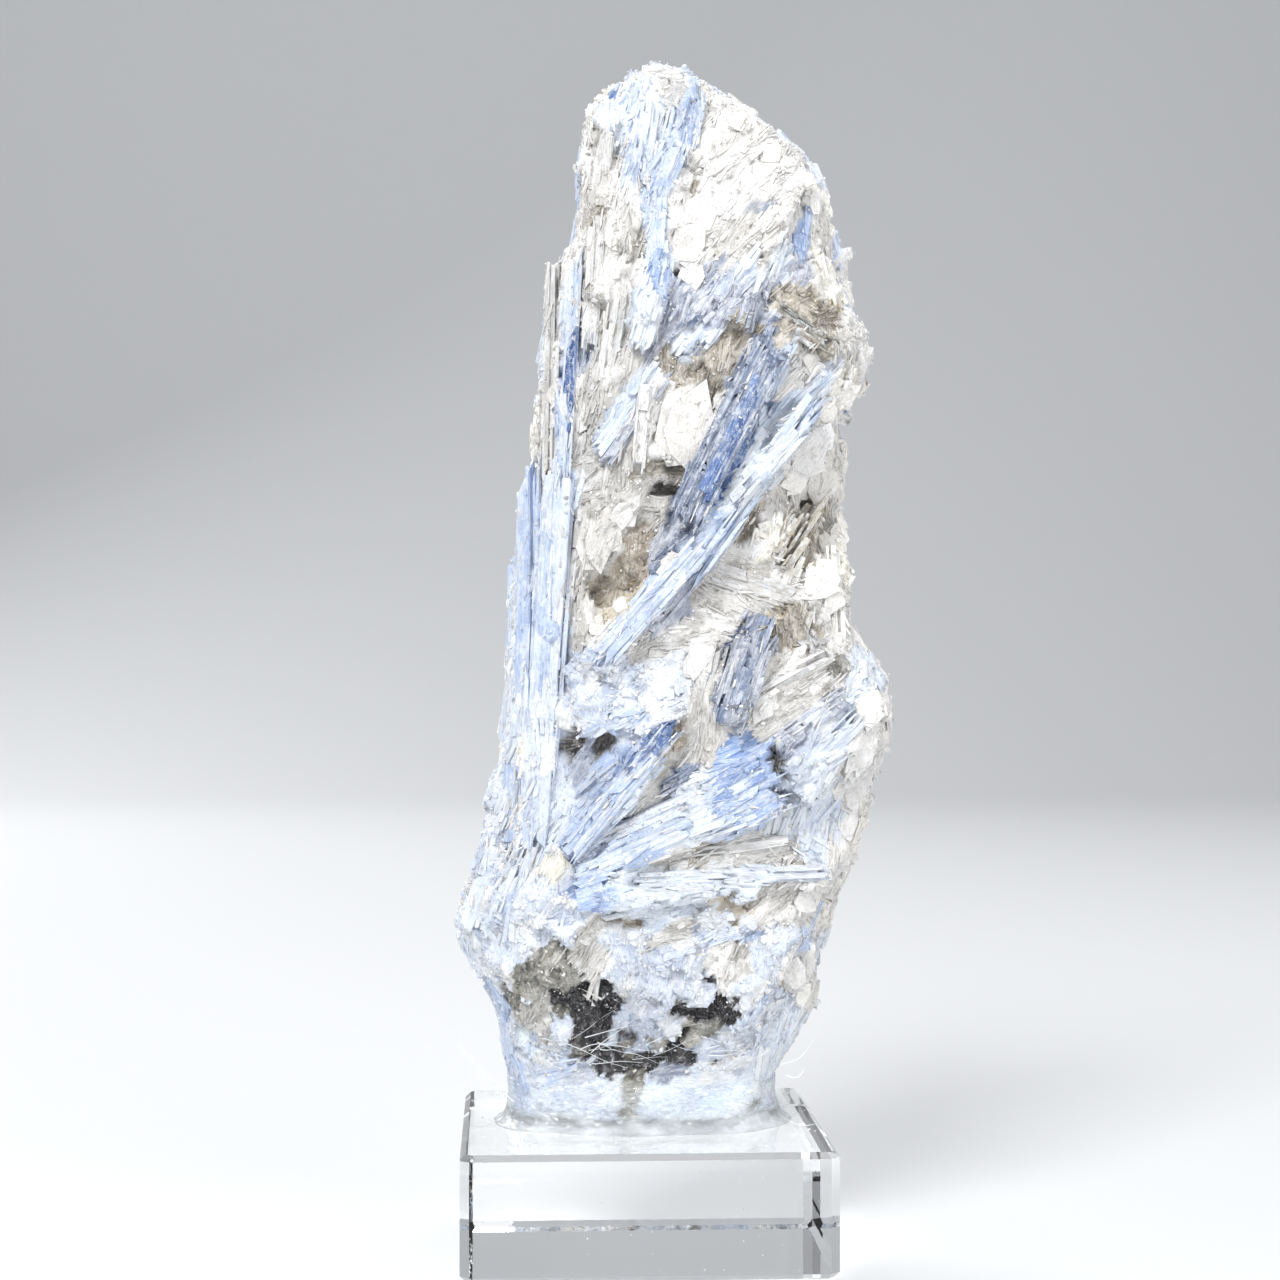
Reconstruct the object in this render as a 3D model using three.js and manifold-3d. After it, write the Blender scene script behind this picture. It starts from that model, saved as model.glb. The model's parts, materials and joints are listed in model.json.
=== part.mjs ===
// Kyanite blade cluster on a clear display block.
//
// A broken piece of kyanite and mica schist stands on end. Its foot is bedded in clear hot-melt
// glue on a square block of clear acrylic. Millimetres, +Z up, the front of the stone faces -Y,
// and the origin is the centre of the block's underside.
//
// The stone is one solid: a craggy body lofted between four edge outlines, joined with the larger
// kyanite blades that stand proud of it. Heights are all measured from the table.
import * as THREE from "three";
import { mergeVertices } from "three/addons/utils/BufferGeometryUtils.js";
import Module from "manifold-3d";

const wasm = await Module();
wasm.setup();

// ---- Driving dimensions ----
const BLOCK_SIDE = 38.1;
const BLOCK_HEIGHT = 12.7;
const BLOCK_CHAMFER = 0.6;
const GLUE_BED = 0.6;
const GLUE_TOP = 18;
const GLUE_TO_STONE_GAP = 0.3;
const GLUE_FLARE = [
  [BLOCK_HEIGHT, 2], // [height, how far the glue stands out from the stone]
  [BLOCK_HEIGHT + 0.8, 1.9],
  [BLOCK_HEIGHT + 2, 1.3],
  [GLUE_TOP, 0.9],
];
const STONE_FOOT = BLOCK_HEIGHT + GLUE_BED + GLUE_TO_STONE_GAP;
const STONE_TOP = 125.2;

// ---- The stone's outline: [height, distance from the block's axis] up each side ----
const LEFT_EDGE = [
  [13, -13.2], [17.5, -14.8], [24, -15.3], [28, -17.4], [31, -19.4], [34, -19.9], [36.5, -19.3],
  [45, -15.6], [52, -13.6], [70, -12.1], [83, -11.6], [95, -11], [101.5, -9.7], [107.5, -7.6],
  [116, -7], [122, -5.9], [124.5, -2.7], [125.2, -0.5],
];
const RIGHT_EDGE = [
  [13, 13.9], [18, 15], [24.5, 18.8], [33, 18.9], [38, 21.8], [45, 22.4], [50, 25.8], [55, 26.9],
  [60, 26.5], [65.5, 22.8], [72.5, 20.6], [77.5, 18.7], [81, 20.2], [87.5, 20.6], [91.5, 24.4],
  [95, 24.8], [103, 21], [110, 20.6], [114.5, 19.6], [118.5, 14.2], [122.5, 9.2], [125.2, 4.6],
];
const FRONT_EDGE = [
  [13, -7.6], [18, -8.2], [22, -10], [28, -12.6], [36, -13], [47, -11.6], [56, -13], [63, -12],
  [70, -10.2], [80, -10.8], [91, -11.8], [101, -11], [111, -9], [119, -7.5], [125.2, -3],
];
const BACK_EDGE = [
  [13, 9.5], [21, 11], [30, 13.4], [40, 12.6], [52, 13.8], [64, 12], [76, 12.9], [88, 11.6],
  [99, 12.4], [109, 10], [118, 8.6], [125.2, 3.5],
];
const OUTLINE = { left: LEFT_EDGE, right: RIGHT_EDGE, front: FRONT_EDGE, back: BACK_EDGE };
const STONE_SQUARENESS = 2.7; // superellipse power: 2 is an ellipse, more is boxier
const STONE_RINGS = 50;
const STONE_SIDES = 32;
const CRAG_DEPTH = 2.2; // how far the clefts between the body's crags are knocked in
const CRAG_SIZE = 8;
const EDGE_CRAG_DEPTH = 0.5; // the same along the left and right edges, where the outline shows

// ---- The larger blades ----
// [foot x, foot z, tip x, tip z, width, lift]. Across the sides of the stone the first and third
// are y instead of x. The lift is how far the blade's broad face stands out of the body.
const BLADE_THICKNESS = 2.8;
const BLADE_TIP_TAPER = 0.8;
const BLADE_EDGE_BEVEL = 0.26; // share of the width taken by each sloping edge
const BULGE_SHARE = 0.45;
const BLADES = {
  front: [
    [-0.7, 95.7, 4.4, 122.6, 3.2, 0.7], // tall blade that runs to the crown
    [-5, 99, -3.8, 120.5, 3.4, 0.6],
    [-2.4, 104, 0.2, 123.4, 2.6, 0.5],
    [9, 96, 15.5, 112, 3.6, 0.5],
    [4.4, 76.3, 14.7, 97.7, 4, 1.2], // dark blade across the middle
    [-7.8, 60, 12.4, 82.6, 3.4, 1.1], // pale bundle beside it
    [-4.6, 60.4, 16.7, 86.4, 3, 0.7],
    [-8.8, 79.5, -7.3, 104.9, 2.4, 0.7],
    [-11.6, 45, -8.6, 83, 3.6, 0.8],
    [-7.4, 52, -5.6, 79, 3, 0.6],
    [8.5, 55.4, 11.8, 65.6, 3.6, 0.7],
    [-7.8, 42, 2.6, 54.4, 3.8, 1.1], // fan of blades over the waist
    [-7, 39.4, 12.4, 47.4, 4.4, 0.9],
    [4.6, 46.4, 15.2, 52.6, 7.4, 0.7],
    [-4.8, 37.2, 18.8, 39.4, 2.6, 0.9],
    [15, 48, 24, 58, 4.6, 0.4],
    [12, 64, 21, 72, 5, 0.4],
    [-9, 33.5, -3, 40.5, 5, 0.6],
    [8, 24, 15.4, 34, 3.6, 0.5],
  ],
  left: [
    [2.6, 45.5, 0.6, 82.3, 5.6, 0.4], // broad blade whose square end makes the step
    [-3, 83, -2, 104, 3.2, 0.1],
    [6.4, 52, 4.8, 92, 4.2, 0],
    [-4.6, 36, -3.4, 62, 4.4, -0.3],
    [4, 88, 3, 106, 3.6, -0.2],
  ],
  right: [
    [-1, 68, 2.4, 88, 4.4, 0.3],
    [2, 30, -3, 48, 4.6, 0.1],
    [4, 88, -1, 106, 4, -0.2],
    [6, 44, 3, 62, 3.8, -0.3],
  ],
  back: [
    [-9, 56, 4, 104, 5, 0.9],
    [-3, 42, 12, 92, 4.4, 1],
    [9, 30, 4, 68, 4.6, 0.7],
    [-12, 32, -7, 72, 4.2, 0.8],
    [3, 90, -2, 121, 4, 0.6],
    [15, 74, 10, 110, 4, 0.5],
    [-2, 26, 14, 40, 3.8, 0.7],
    [-6, 92, -4.6, 116, 3.4, 0.5],
  ],
};

// ---- Finishes ----
const FINISHES = {
  kyanite_specimen: { color: 0xc9d3de, roughness: 0.5, metalness: 0 },
  mounting_glue: { color: 0xe9eef2, roughness: 0.2, metalness: 0, transparent: true, opacity: 0.5 },
  acrylic_base: { color: 0xf4f7f8, roughness: 0.05, metalness: 0, transparent: true, opacity: 0.35 },
};

// Distance of an outline at a height, on straight lines between its points.
function outlineAt(points, height) {
  const last = points.length - 1;
  if (height <= points[0][0]) return points[0][1];
  if (height >= points[last][0]) return points[last][1];
  const i = points.findIndex(([h]) => h > height);
  const [h0, d0] = points[i - 1];
  const [h1, d1] = points[i];
  return THREE.MathUtils.mapLinear(height, h0, h1, d0, d1);
}

// The stone's section at a height: its middle and half sizes, grown by a margin.
function sectionAt(height, margin) {
  const [left, right] = [outlineAt(OUTLINE.left, height), outlineAt(OUTLINE.right, height)];
  const [front, back] = [outlineAt(OUTLINE.front, height), outlineAt(OUTLINE.back, height)];
  return {
    x: (left + right) / 2,
    y: (front + back) / 2,
    halfX: (right - left) / 2 + margin,
    halfY: (back - front) / 2 + margin,
  };
}

// A point of the section's superellipse, at an angle from +X.
function sectionPoint(section, angle) {
  const power = 2 / STONE_SQUARENESS;
  const along = (value) => Math.sign(value) * Math.abs(value) ** power;
  return [
    section.x + section.halfX * along(Math.cos(angle)),
    section.y + section.halfY * along(Math.sin(angle)),
  ];
}

// A repeatable number from 0 to 1 for a cell of a grid.
function cellNumber(i, j, k) {
  const mixed = Math.sin(i * 127.1 + j * 311.7 + k * 74.7) * 43758.5453;
  return mixed - Math.floor(mixed);
}

// Distance to the nearest of a grid of scattered points, in cells: it is small at the middle of
// each crag and grows towards the clefts between them.
function cragNumber(x, y, z) {
  const place = [x, y, z].map((value) => value / CRAG_SIZE);
  const cell = place.map(Math.floor);
  let nearest = Infinity;
  for (const i of [-1, 0, 1])
    for (const j of [-1, 0, 1])
      for (const k of [-1, 0, 1]) {
        const [a, b, c] = [cell[0] + i, cell[1] + j, cell[2] + k];
        const centre = [a + cellNumber(a, b, c), b + cellNumber(b, c, a), c + cellNumber(c, a, b)];
        nearest = Math.min(nearest, Math.hypot(...centre.map((value, n) => value - place[n])));
      }
  return Math.min(nearest, 1);
}

// A closed surface lofted through the stone's sections from one height to another. It starts as a
// sphere whose rings are moved to the sections, so both ends are closed by its poles.
function loft({ from, to, marginAt, crags, rings, sides }) {
  const sphere = new THREE.SphereGeometry(1, sides, rings);
  sphere.deleteAttribute("normal");
  sphere.deleteAttribute("uv");
  const geometry = mergeVertices(sphere);
  const position = geometry.getAttribute("position");
  for (let i = 0; i < position.count; i += 1) {
    // The sphere's axis is its Y. Its polar angle gives the ring, its turn about Y the side.
    const [sx, sy, sz] = [position.getX(i), position.getY(i), position.getZ(i)];
    const ring = Math.round((Math.acos(THREE.MathUtils.clamp(sy, -1, 1)) / Math.PI) * rings);
    const isPole = ring === 0 || ring === rings;
    const share = (THREE.MathUtils.clamp(ring, 1, rings - 1) - 1) / (rings - 2);
    const height = THREE.MathUtils.lerp(to, from, share);
    const section = sectionAt(height, marginAt(height));
    const [x, y] = isPole ? [section.x, section.y] : sectionPoint(section, Math.atan2(-sz, sx));
    const facesFront = Math.abs(y - section.y) / section.halfY;
    const depth = THREE.MathUtils.lerp(EDGE_CRAG_DEPTH, CRAG_DEPTH, facesFront);
    const crag = crags && !isPole ? depth * cragNumber(x, y, height) : 0;
    const inward = crag / Math.max(Math.hypot(x - section.x, y - section.y), 1);
    position.setXYZ(i, x + (section.x - x) * inward, y + (section.y - y) * inward, height);
  }
  return geometry;
}

function asSolid(geometry) {
  const merged = mergeVertices(geometry, 1e-4);
  return new wasm.Manifold(
    new wasm.Mesh({
      numProp: 3,
      vertProperties: merged.getAttribute("position").array,
      triVerts: new Uint32Array(merged.index.array),
    }),
  );
}

function asGeometry(solid) {
  const { vertProperties, triVerts } = solid.getMesh();
  const geometry = new THREE.BufferGeometry();
  geometry.setAttribute("position", new THREE.BufferAttribute(vertProperties, 3));
  geometry.setIndex(new THREE.BufferAttribute(triVerts, 1));
  return geometry.toNonIndexed();
}

// ---- Blades ----
// For each facing: its outward direction, the direction that a blade's x runs in, and the outline
// that the blade lies on.
const FACINGS = {
  front: { outward: [0, -1, 0], across: [1, 0, 0], outline: "front" },
  back: { outward: [0, 1, 0], across: [1, 0, 0], outline: "back" },
  left: { outward: [-1, 0, 0], across: [0, 1, 0], outline: "left" },
  right: { outward: [1, 0, 0], across: [0, 1, 0], outline: "right" },
};

// Where the body's surface is, out along a facing, at a place across it and a height.
function surfaceOut(facing, across, height) {
  const section = sectionAt(height, 0);
  const sideways = facing.across[0] === 1;
  const [middle, half] = sideways ? [section.x, section.halfX] : [section.y, section.halfY];
  const [depthMiddle, depthHalf] = sideways ? [section.y, section.halfY] : [section.x, section.halfX];
  const off = Math.min(Math.abs((across - middle) / half), 0.97);
  const rise = (1 - off ** STONE_SQUARENESS) ** (1 / STONE_SQUARENESS);
  const sign = facing.outward[0] + facing.outward[1];
  return (depthMiddle + sign * depthHalf * rise) * sign;
}

function bladeSolid(facingName, [footX, footZ, tipX, tipZ, width, lift]) {
  const facing = FACINGS[facingName];
  const outward = new THREE.Vector3(...facing.outward);
  const across = new THREE.Vector3(...facing.across);
  // The body bulges between the blade's two ends, so the blade is brought out by a share of that.
  const surfaces = [0, 0.25, 0.5, 0.75, 1].map((share) =>
    surfaceOut(
      facing,
      THREE.MathUtils.lerp(footX, tipX, share),
      THREE.MathUtils.lerp(footZ, tipZ, share),
    ),
  );
  const bulge = Math.max(
    ...surfaces.map((out, i) => out - THREE.MathUtils.lerp(surfaces[0], surfaces[4], i / 4)),
  );
  const out = lift + BULGE_SHARE * bulge - BLADE_THICKNESS / 2;
  const endPoint = (x, z) =>
    new THREE.Vector3(0, 0, z)
      .addScaledVector(across, x)
      .addScaledVector(outward, surfaceOut(facing, x, z) + out);
  const foot = endPoint(footX, footZ);
  const tip = endPoint(tipX, tipZ);
  const length = foot.distanceTo(tip);
  const half = width / 2;
  const flat = half - width * BLADE_EDGE_BEVEL;
  const thick = BLADE_THICKNESS / 2;
  const section = new THREE.Shape([
    new THREE.Vector2(-half, 0),
    new THREE.Vector2(-flat, -thick),
    new THREE.Vector2(flat, -thick),
    new THREE.Vector2(half, 0),
    new THREE.Vector2(flat, thick),
    new THREE.Vector2(-flat, thick),
  ]);
  const geometry = new THREE.ExtrudeGeometry(section, { depth: length, bevelEnabled: false });
  geometry.deleteAttribute("normal");
  geometry.deleteAttribute("uv");
  const position = geometry.getAttribute("position");
  for (let i = 0; i < position.count; i += 1) {
    if (position.getZ(i) > length / 2) position.setX(i, position.getX(i) * BLADE_TIP_TAPER);
  }
  const along = tip.clone().sub(foot).normalize();
  const sideways = new THREE.Vector3().crossVectors(outward, along).normalize();
  const face = new THREE.Vector3().crossVectors(along, sideways);
  geometry.applyMatrix4(new THREE.Matrix4().makeBasis(sideways, face, along).setPosition(foot));
  return asSolid(geometry);
}

// ---- The three pieces ----
function makeStone() {
  let stone = asSolid(
    loft({
      from: STONE_FOOT,
      to: STONE_TOP,
      marginAt: () => 0,
      crags: true,
      rings: STONE_RINGS,
      sides: STONE_SIDES,
    }),
  );
  for (const [facingName, blades] of Object.entries(BLADES))
    for (const blade of blades) stone = stone.add(bladeSolid(facingName, blade));
  return asGeometry(withoutPockets(stone));
}

// A blade that bridges a hollow can close a pocket under it. The real rock is solid there, and the
// outer skin on its own is the rock with every pocket filled.
function withoutPockets(solid) {
  return solid.decompose().reduce((a, b) => (b.volume() > a.volume() ? b : a));
}

function makeGlue() {
  const rings = 8;
  const sides = STONE_SIDES;
  const mound = asSolid(
    loft({
      from: BLOCK_HEIGHT,
      to: GLUE_TOP,
      marginAt: (height) => outlineAt(GLUE_FLARE, height),
      crags: false,
      rings,
      sides,
    }),
  );
  const socket = asSolid(
    loft({
      from: STONE_FOOT - GLUE_TO_STONE_GAP,
      to: GLUE_TOP + 1,
      marginAt: () => GLUE_TO_STONE_GAP,
      crags: false,
      rings,
      sides,
    }),
  );
  return asGeometry(mound.subtract(socket));
}

function makeBlock() {
  const side = BLOCK_SIDE / 2 - BLOCK_CHAMFER;
  const cut = BLOCK_CHAMFER;
  const plan = new THREE.Shape([
    new THREE.Vector2(-side + cut, -side),
    new THREE.Vector2(side - cut, -side),
    new THREE.Vector2(side, -side + cut),
    new THREE.Vector2(side, side - cut),
    new THREE.Vector2(side - cut, side),
    new THREE.Vector2(-side + cut, side),
    new THREE.Vector2(-side, side - cut),
    new THREE.Vector2(-side, -side + cut),
  ]);
  return new THREE.ExtrudeGeometry(plan, {
    depth: BLOCK_HEIGHT - 2 * BLOCK_CHAMFER,
    bevelEnabled: true,
    bevelThickness: BLOCK_CHAMFER,
    bevelSize: BLOCK_CHAMFER,
    bevelSegments: 1,
  }).translate(0, 0, BLOCK_CHAMFER);
}

function makePiece(name, geometry) {
  const mesh = new THREE.Mesh(geometry, new THREE.MeshStandardMaterial(FINISHES[name]));
  mesh.name = name;
  return mesh;
}

const cluster = new THREE.Group();
cluster.add(makePiece("kyanite_specimen", makeStone()));
cluster.add(makePiece("mounting_glue", makeGlue()));
cluster.add(makePiece("acrylic_base", makeBlock()));

export default cluster;
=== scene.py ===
# %% [markdown]
# # Kyanite blade cluster on a clear display block
#
# The object is a broken piece of rock, about eleven centimetres tall, that stands on end. Long
# flat blades of blue kyanite lie in it at many angles, packed round with white and silvery mica,
# a little quartz and a patch of black mica near the foot. Clear hot-melt glue holds the foot on a
# square block of clear acrylic.
#
# The rock is built from the inside out: a craggy body, then the large blades that the eye picks
# out, then thousands of small laths, flakes and grains that cover the body as they do in the
# rock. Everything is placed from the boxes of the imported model, in metres.

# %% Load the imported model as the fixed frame
import json
import math
import random

import bmesh
import bpy
import numpy as np
from mathutils import Matrix, Vector, noise
from mathutils.bvhtree import BVHTree
from mathutils.kdtree import KDTree

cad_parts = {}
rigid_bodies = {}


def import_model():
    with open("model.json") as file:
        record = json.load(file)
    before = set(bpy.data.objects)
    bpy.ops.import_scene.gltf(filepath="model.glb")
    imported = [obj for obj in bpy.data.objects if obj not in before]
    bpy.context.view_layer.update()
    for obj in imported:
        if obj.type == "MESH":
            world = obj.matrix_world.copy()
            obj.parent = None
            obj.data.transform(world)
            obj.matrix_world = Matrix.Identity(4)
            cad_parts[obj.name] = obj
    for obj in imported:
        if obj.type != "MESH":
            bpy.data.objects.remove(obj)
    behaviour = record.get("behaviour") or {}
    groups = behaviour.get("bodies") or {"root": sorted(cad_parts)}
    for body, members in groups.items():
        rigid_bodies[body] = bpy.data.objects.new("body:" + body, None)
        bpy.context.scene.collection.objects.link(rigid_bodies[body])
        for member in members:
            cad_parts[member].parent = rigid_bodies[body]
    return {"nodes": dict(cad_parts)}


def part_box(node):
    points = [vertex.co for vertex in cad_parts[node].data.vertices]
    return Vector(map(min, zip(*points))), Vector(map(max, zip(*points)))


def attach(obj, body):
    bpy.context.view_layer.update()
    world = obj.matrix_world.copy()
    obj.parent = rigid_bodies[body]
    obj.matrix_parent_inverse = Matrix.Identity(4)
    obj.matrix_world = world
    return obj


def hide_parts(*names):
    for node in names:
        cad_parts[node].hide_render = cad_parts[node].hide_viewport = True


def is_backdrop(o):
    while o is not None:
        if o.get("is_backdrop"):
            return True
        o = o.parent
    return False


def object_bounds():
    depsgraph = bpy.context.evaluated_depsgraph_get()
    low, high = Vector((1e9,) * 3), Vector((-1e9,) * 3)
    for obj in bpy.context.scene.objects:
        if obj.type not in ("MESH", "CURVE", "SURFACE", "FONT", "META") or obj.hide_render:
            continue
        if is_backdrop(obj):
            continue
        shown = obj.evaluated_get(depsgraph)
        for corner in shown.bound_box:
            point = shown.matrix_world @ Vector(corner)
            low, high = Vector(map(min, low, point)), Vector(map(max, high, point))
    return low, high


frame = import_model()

MM = 0.001
cad_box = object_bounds()
stone_low, stone_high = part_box("kyanite_specimen")
glue_low, glue_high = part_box("mounting_glue")
block_low, block_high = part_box("acrylic_base")
stone_size = stone_high - stone_low
print("stone, mm:", [round(side / MM, 1) for side in stone_size])

# %% [markdown]
# ## The camera, the floor and the light
#
# A camera level with the middle of the stone sees a floor that sweeps up into a backdrop, with
# no corner between them. Big soft lamps stand close to the front and above, because broken mica
# and blades only read when each facet catches a broad light at its own angle.

# %% Camera
CAMERA_DISTANCE = 275.5 * MM
CAMERA_HEIGHT = 64 * MM
CAMERA_TURN = math.radians(-2.9)
CAMERA_ASIDE = -0.13 * MM
LENS = 72.4  # mm, as is the sensor's width
SENSOR = 36

camera = bpy.data.objects.new("camera", bpy.data.cameras.new("camera"))
camera.data.lens = LENS
camera.data.sensor_width = SENSOR
camera.data.clip_start = 0.01
toward_camera = Vector((math.sin(CAMERA_TURN), -math.cos(CAMERA_TURN), 0))
across_view = Vector((math.cos(CAMERA_TURN), math.sin(CAMERA_TURN), 0))
camera.location = toward_camera * CAMERA_DISTANCE + across_view * CAMERA_ASIDE
camera.location.z = CAMERA_HEIGHT
camera.rotation_euler = (math.pi / 2, 0, CAMERA_TURN)
bpy.context.scene.collection.objects.link(camera)
bpy.context.scene.camera = camera
print("camera at, mm:", [round(c / MM, 1) for c in camera.location])


# %% Lamps and the room's light
LAMP_AIM = Vector((0, 0, 70 * MM))  # the middle of the stone


def add_lamp(name, place, size, power):
    """A square soft lamp that faces the middle of the stone."""
    lamp = bpy.data.lights.new(name, "AREA")
    lamp.shape = "SQUARE"
    lamp.size = size
    lamp.energy = power
    holder = bpy.data.objects.new(name, lamp)
    holder.location = place
    holder.rotation_euler = (LAMP_AIM - holder.location).to_track_quat("-Z", "Y").to_euler()
    bpy.context.scene.collection.objects.link(holder)


add_lamp("key_lamp", (-0.30, -0.62, 0.62), 0.34, 6.5)
add_lamp("fill_lamp", (0.62, -0.62, 0.30), 0.60, 3.3)
add_lamp("top_lamp", (0.05, 0.05, 0.95), 0.50, 3.8)
add_lamp("back_lamp", (-0.5, 0.7, 0.5), 0.40, 4.4)

world = bpy.data.worlds.new("room")
world.use_nodes = True
room_light = world.node_tree.nodes["Background"].inputs
room_light["Color"].default_value = (0.93, 0.95, 1, 1)
room_light["Strength"].default_value = 0.30
bpy.context.scene.world = world
bpy.context.scene.view_settings.view_transform = "Standard"
print(len(bpy.data.lights), "lamps")


# %% Helpers that turn a bmesh into a piece
def as_object(name, bm, materials=(), smooth=False):
    """Puts a bmesh in the scene as an object at the origin, and frees it."""
    mesh = bpy.data.meshes.new(name)
    bm.to_mesh(mesh)
    bm.free()
    return mesh_as_object(name, mesh, materials, smooth)


def mesh_as_object(name, mesh, materials=(), smooth=False):
    """Puts a mesh in the scene as an object at the origin."""
    for material in materials:
        mesh.materials.append(material)
    mesh.polygons.foreach_set("use_smooth", [smooth] * len(mesh.polygons))
    piece = bpy.data.objects.new(name, mesh)
    bpy.context.scene.collection.objects.link(piece)
    return piece


def finish_piece(piece):
    """Says which body the piece rides on, and prints how many triangles it has."""
    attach(piece, "root")
    piece.data.calc_loop_triangles()
    print(f"{piece.name}: {len(piece.data.loop_triangles)} triangles")


# %% [markdown]
# ## Shader wires
#
# A material is a graph of nodes, and sums on it are easier to read as sums. `Wire` wraps one
# socket, so `1 - mask * 0.5` adds the Math nodes that work it out. Vectors go through Vector
# Math, because a Math node would keep only one number of them. `Finish` is a material with one
# method that adds any other node.

# %% Wire
class Wire:
    """An output socket that can stand in an arithmetic expression."""

    def __init__(self, tree, socket):
        self.tree = tree
        self.socket = socket

    def _math(self, operation, first, second):
        """Adds the node for one sum, and gives back its result."""
        wires = [w for w in (first, second) if isinstance(w, Wire)]
        is_vector = any(w.socket.type in {"VECTOR", "RGBA"} for w in wires)
        kind = "ShaderNodeVectorMath" if is_vector else "ShaderNodeMath"
        node = self.tree.nodes.new(kind)
        node.operation = operation
        for place, value in zip(node.inputs, (first, second)):
            if isinstance(value, Wire):
                self.tree.links.new(value.socket, place)
            elif is_vector and not hasattr(value, "__len__"):
                place.default_value = (value, value, value)
            else:
                place.default_value = value
        return Wire(self.tree, node.outputs[0])

    def __add__(self, other):
        return self._math("ADD", self, other)

    def __sub__(self, other):
        return self._math("SUBTRACT", self, other)

    def __rsub__(self, other):
        return self._math("SUBTRACT", other, self)

    def __mul__(self, other):
        return self._math("MULTIPLY", self, other)


# %% Finish
class Finish:
    """A material whose nodes are added by name."""

    def __init__(self, name):
        self.material = bpy.data.materials.new(name)
        self.material.use_nodes = True
        self.tree = self.material.node_tree
        self.tree.nodes.clear()

    def node(self, kind, settings=None, output=0, **sockets):
        """Adds a node, sets it, fills its sockets, and gives back one output as a Wire."""
        node = self.tree.nodes.new("ShaderNode" + kind)
        for name, value in (settings or {}).items():
            setattr(node, name, value)
        for name, value in sockets.items():
            place = self._place(node, name)
            if isinstance(value, Wire):
                self.tree.links.new(value.socket, place)
            else:
                place.default_value = value
        return Wire(self.tree, node.outputs[output])

    def _place(self, node, name):
        """A socket by its name, with _ for a space, or by its number, as in i6."""
        if name[1:].isdigit() and name[0] == "i":
            return node.inputs[int(name[1:])]
        return node.inputs[name.replace("_", " ")]

    def place(self):
        """Where a point lies on its object, in metres."""
        return self.node("TexCoord", None, 3)

    def attribute(self, name, output=1):
        """A value kept on the mesh: output 0 is its colour and output 1 is its vector."""
        return self.node("Attribute", {"attribute_name": name}, output)

    def noise(self, vector, scale, detail=3, roughness=0.6):
        """Cloudy noise from 0 to 1; its clouds are about one over the scale wide."""
        return self.node("TexNoise", Vector=vector, Scale=scale, Detail=detail,
                         Roughness=roughness)

    def step(self, wire, low, high):
        """0 below low and 1 above high, with a straight slope between."""
        return self.node("MapRange", {"clamp": True}, Value=wire, From_Min=low, From_Max=high)

    def mix(self, factor, first, second):
        """Mixes two colours."""
        settings = {"data_type": "RGBA", "clamp_factor": True}
        return self.node("Mix", settings, 2, i0=factor, i6=first, i7=second)

    def bump(self, height, distance, strength=1.0):
        """A normal for a surface that rises by the distance, in metres, where height is 1."""
        return self.node("Bump", None, 0, Height=height, Distance=distance, Strength=strength)

    def surface(self, shader):
        """Makes a shader the material's own, and gives back the material."""
        output = self.tree.nodes.new("ShaderNodeOutputMaterial")
        self.tree.links.new(shader.socket, output.inputs["Surface"])
        return self.material


def colour(red, green, blue):
    """A colour given as a screen shows it, 0 to 255, as the linear values a shader wants."""
    def linear(value):
        value = value / 255
        return value / 12.92 if value <= 0.04045 else ((value + 0.055) / 1.055) ** 2.4
    return (linear(red), linear(green), linear(blue), 1.0)


# %% [markdown]
# ### Floor
#
# The floor is one strip of paper: flat under the object, curved up behind it, then straight up.

# %% Floor
FLOOR_SIZE = 2.4
SWEEP_RADIUS = 0.45
FLOOR_GAP = 0.05 * MM  # keeps the floor clear of the block's polished underside

floor_paper = Finish("floor_paper")
paper_grain = floor_paper.noise(floor_paper.place(), 900, 2)
floor_material = floor_paper.surface(floor_paper.node(
    "BsdfPrincipled",
    Base_Color=(0.66, 0.67, 0.68, 1),
    Roughness=0.85,
    Normal=floor_paper.bump(paper_grain, 0.00003),
))

bm = bmesh.new()
bmesh.ops.create_grid(bm, x_segments=1, y_segments=1, size=FLOOR_SIZE / 2)
back_edge = max(bm.edges, key=lambda edge: sum(v.co.y for v in edge.verts))
raised = bmesh.ops.extrude_edge_only(bm, edges=[back_edge])["geom"]
raised_verts = [e for e in raised if isinstance(e, bmesh.types.BMVert)]
bmesh.ops.translate(bm, verts=raised_verts, vec=(0, 0, FLOOR_SIZE))
bmesh.ops.bevel(bm, geom=[back_edge], offset=SWEEP_RADIUS, segments=24, profile=0.5,
                affect="EDGES", material=-1)
bmesh.ops.recalc_face_normals(bm, faces=bm.faces)
bmesh.ops.translate(bm, verts=bm.verts, vec=(0, 0, -FLOOR_GAP))
floor = as_object("floor", bm, [floor_material], smooth=True)
floor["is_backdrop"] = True
print("floor:", len(floor.data.polygons), "faces")

# %% [markdown]
# ## The minerals and where they lie
#
# Each mineral has a few colours, a depth and a habit. The depth is how far its patches stand out
# of the rock, in millimetres: soft mica and hollows lie deep, hard blades stand proud. The habit
# is the shape that its crystals break into.

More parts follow.
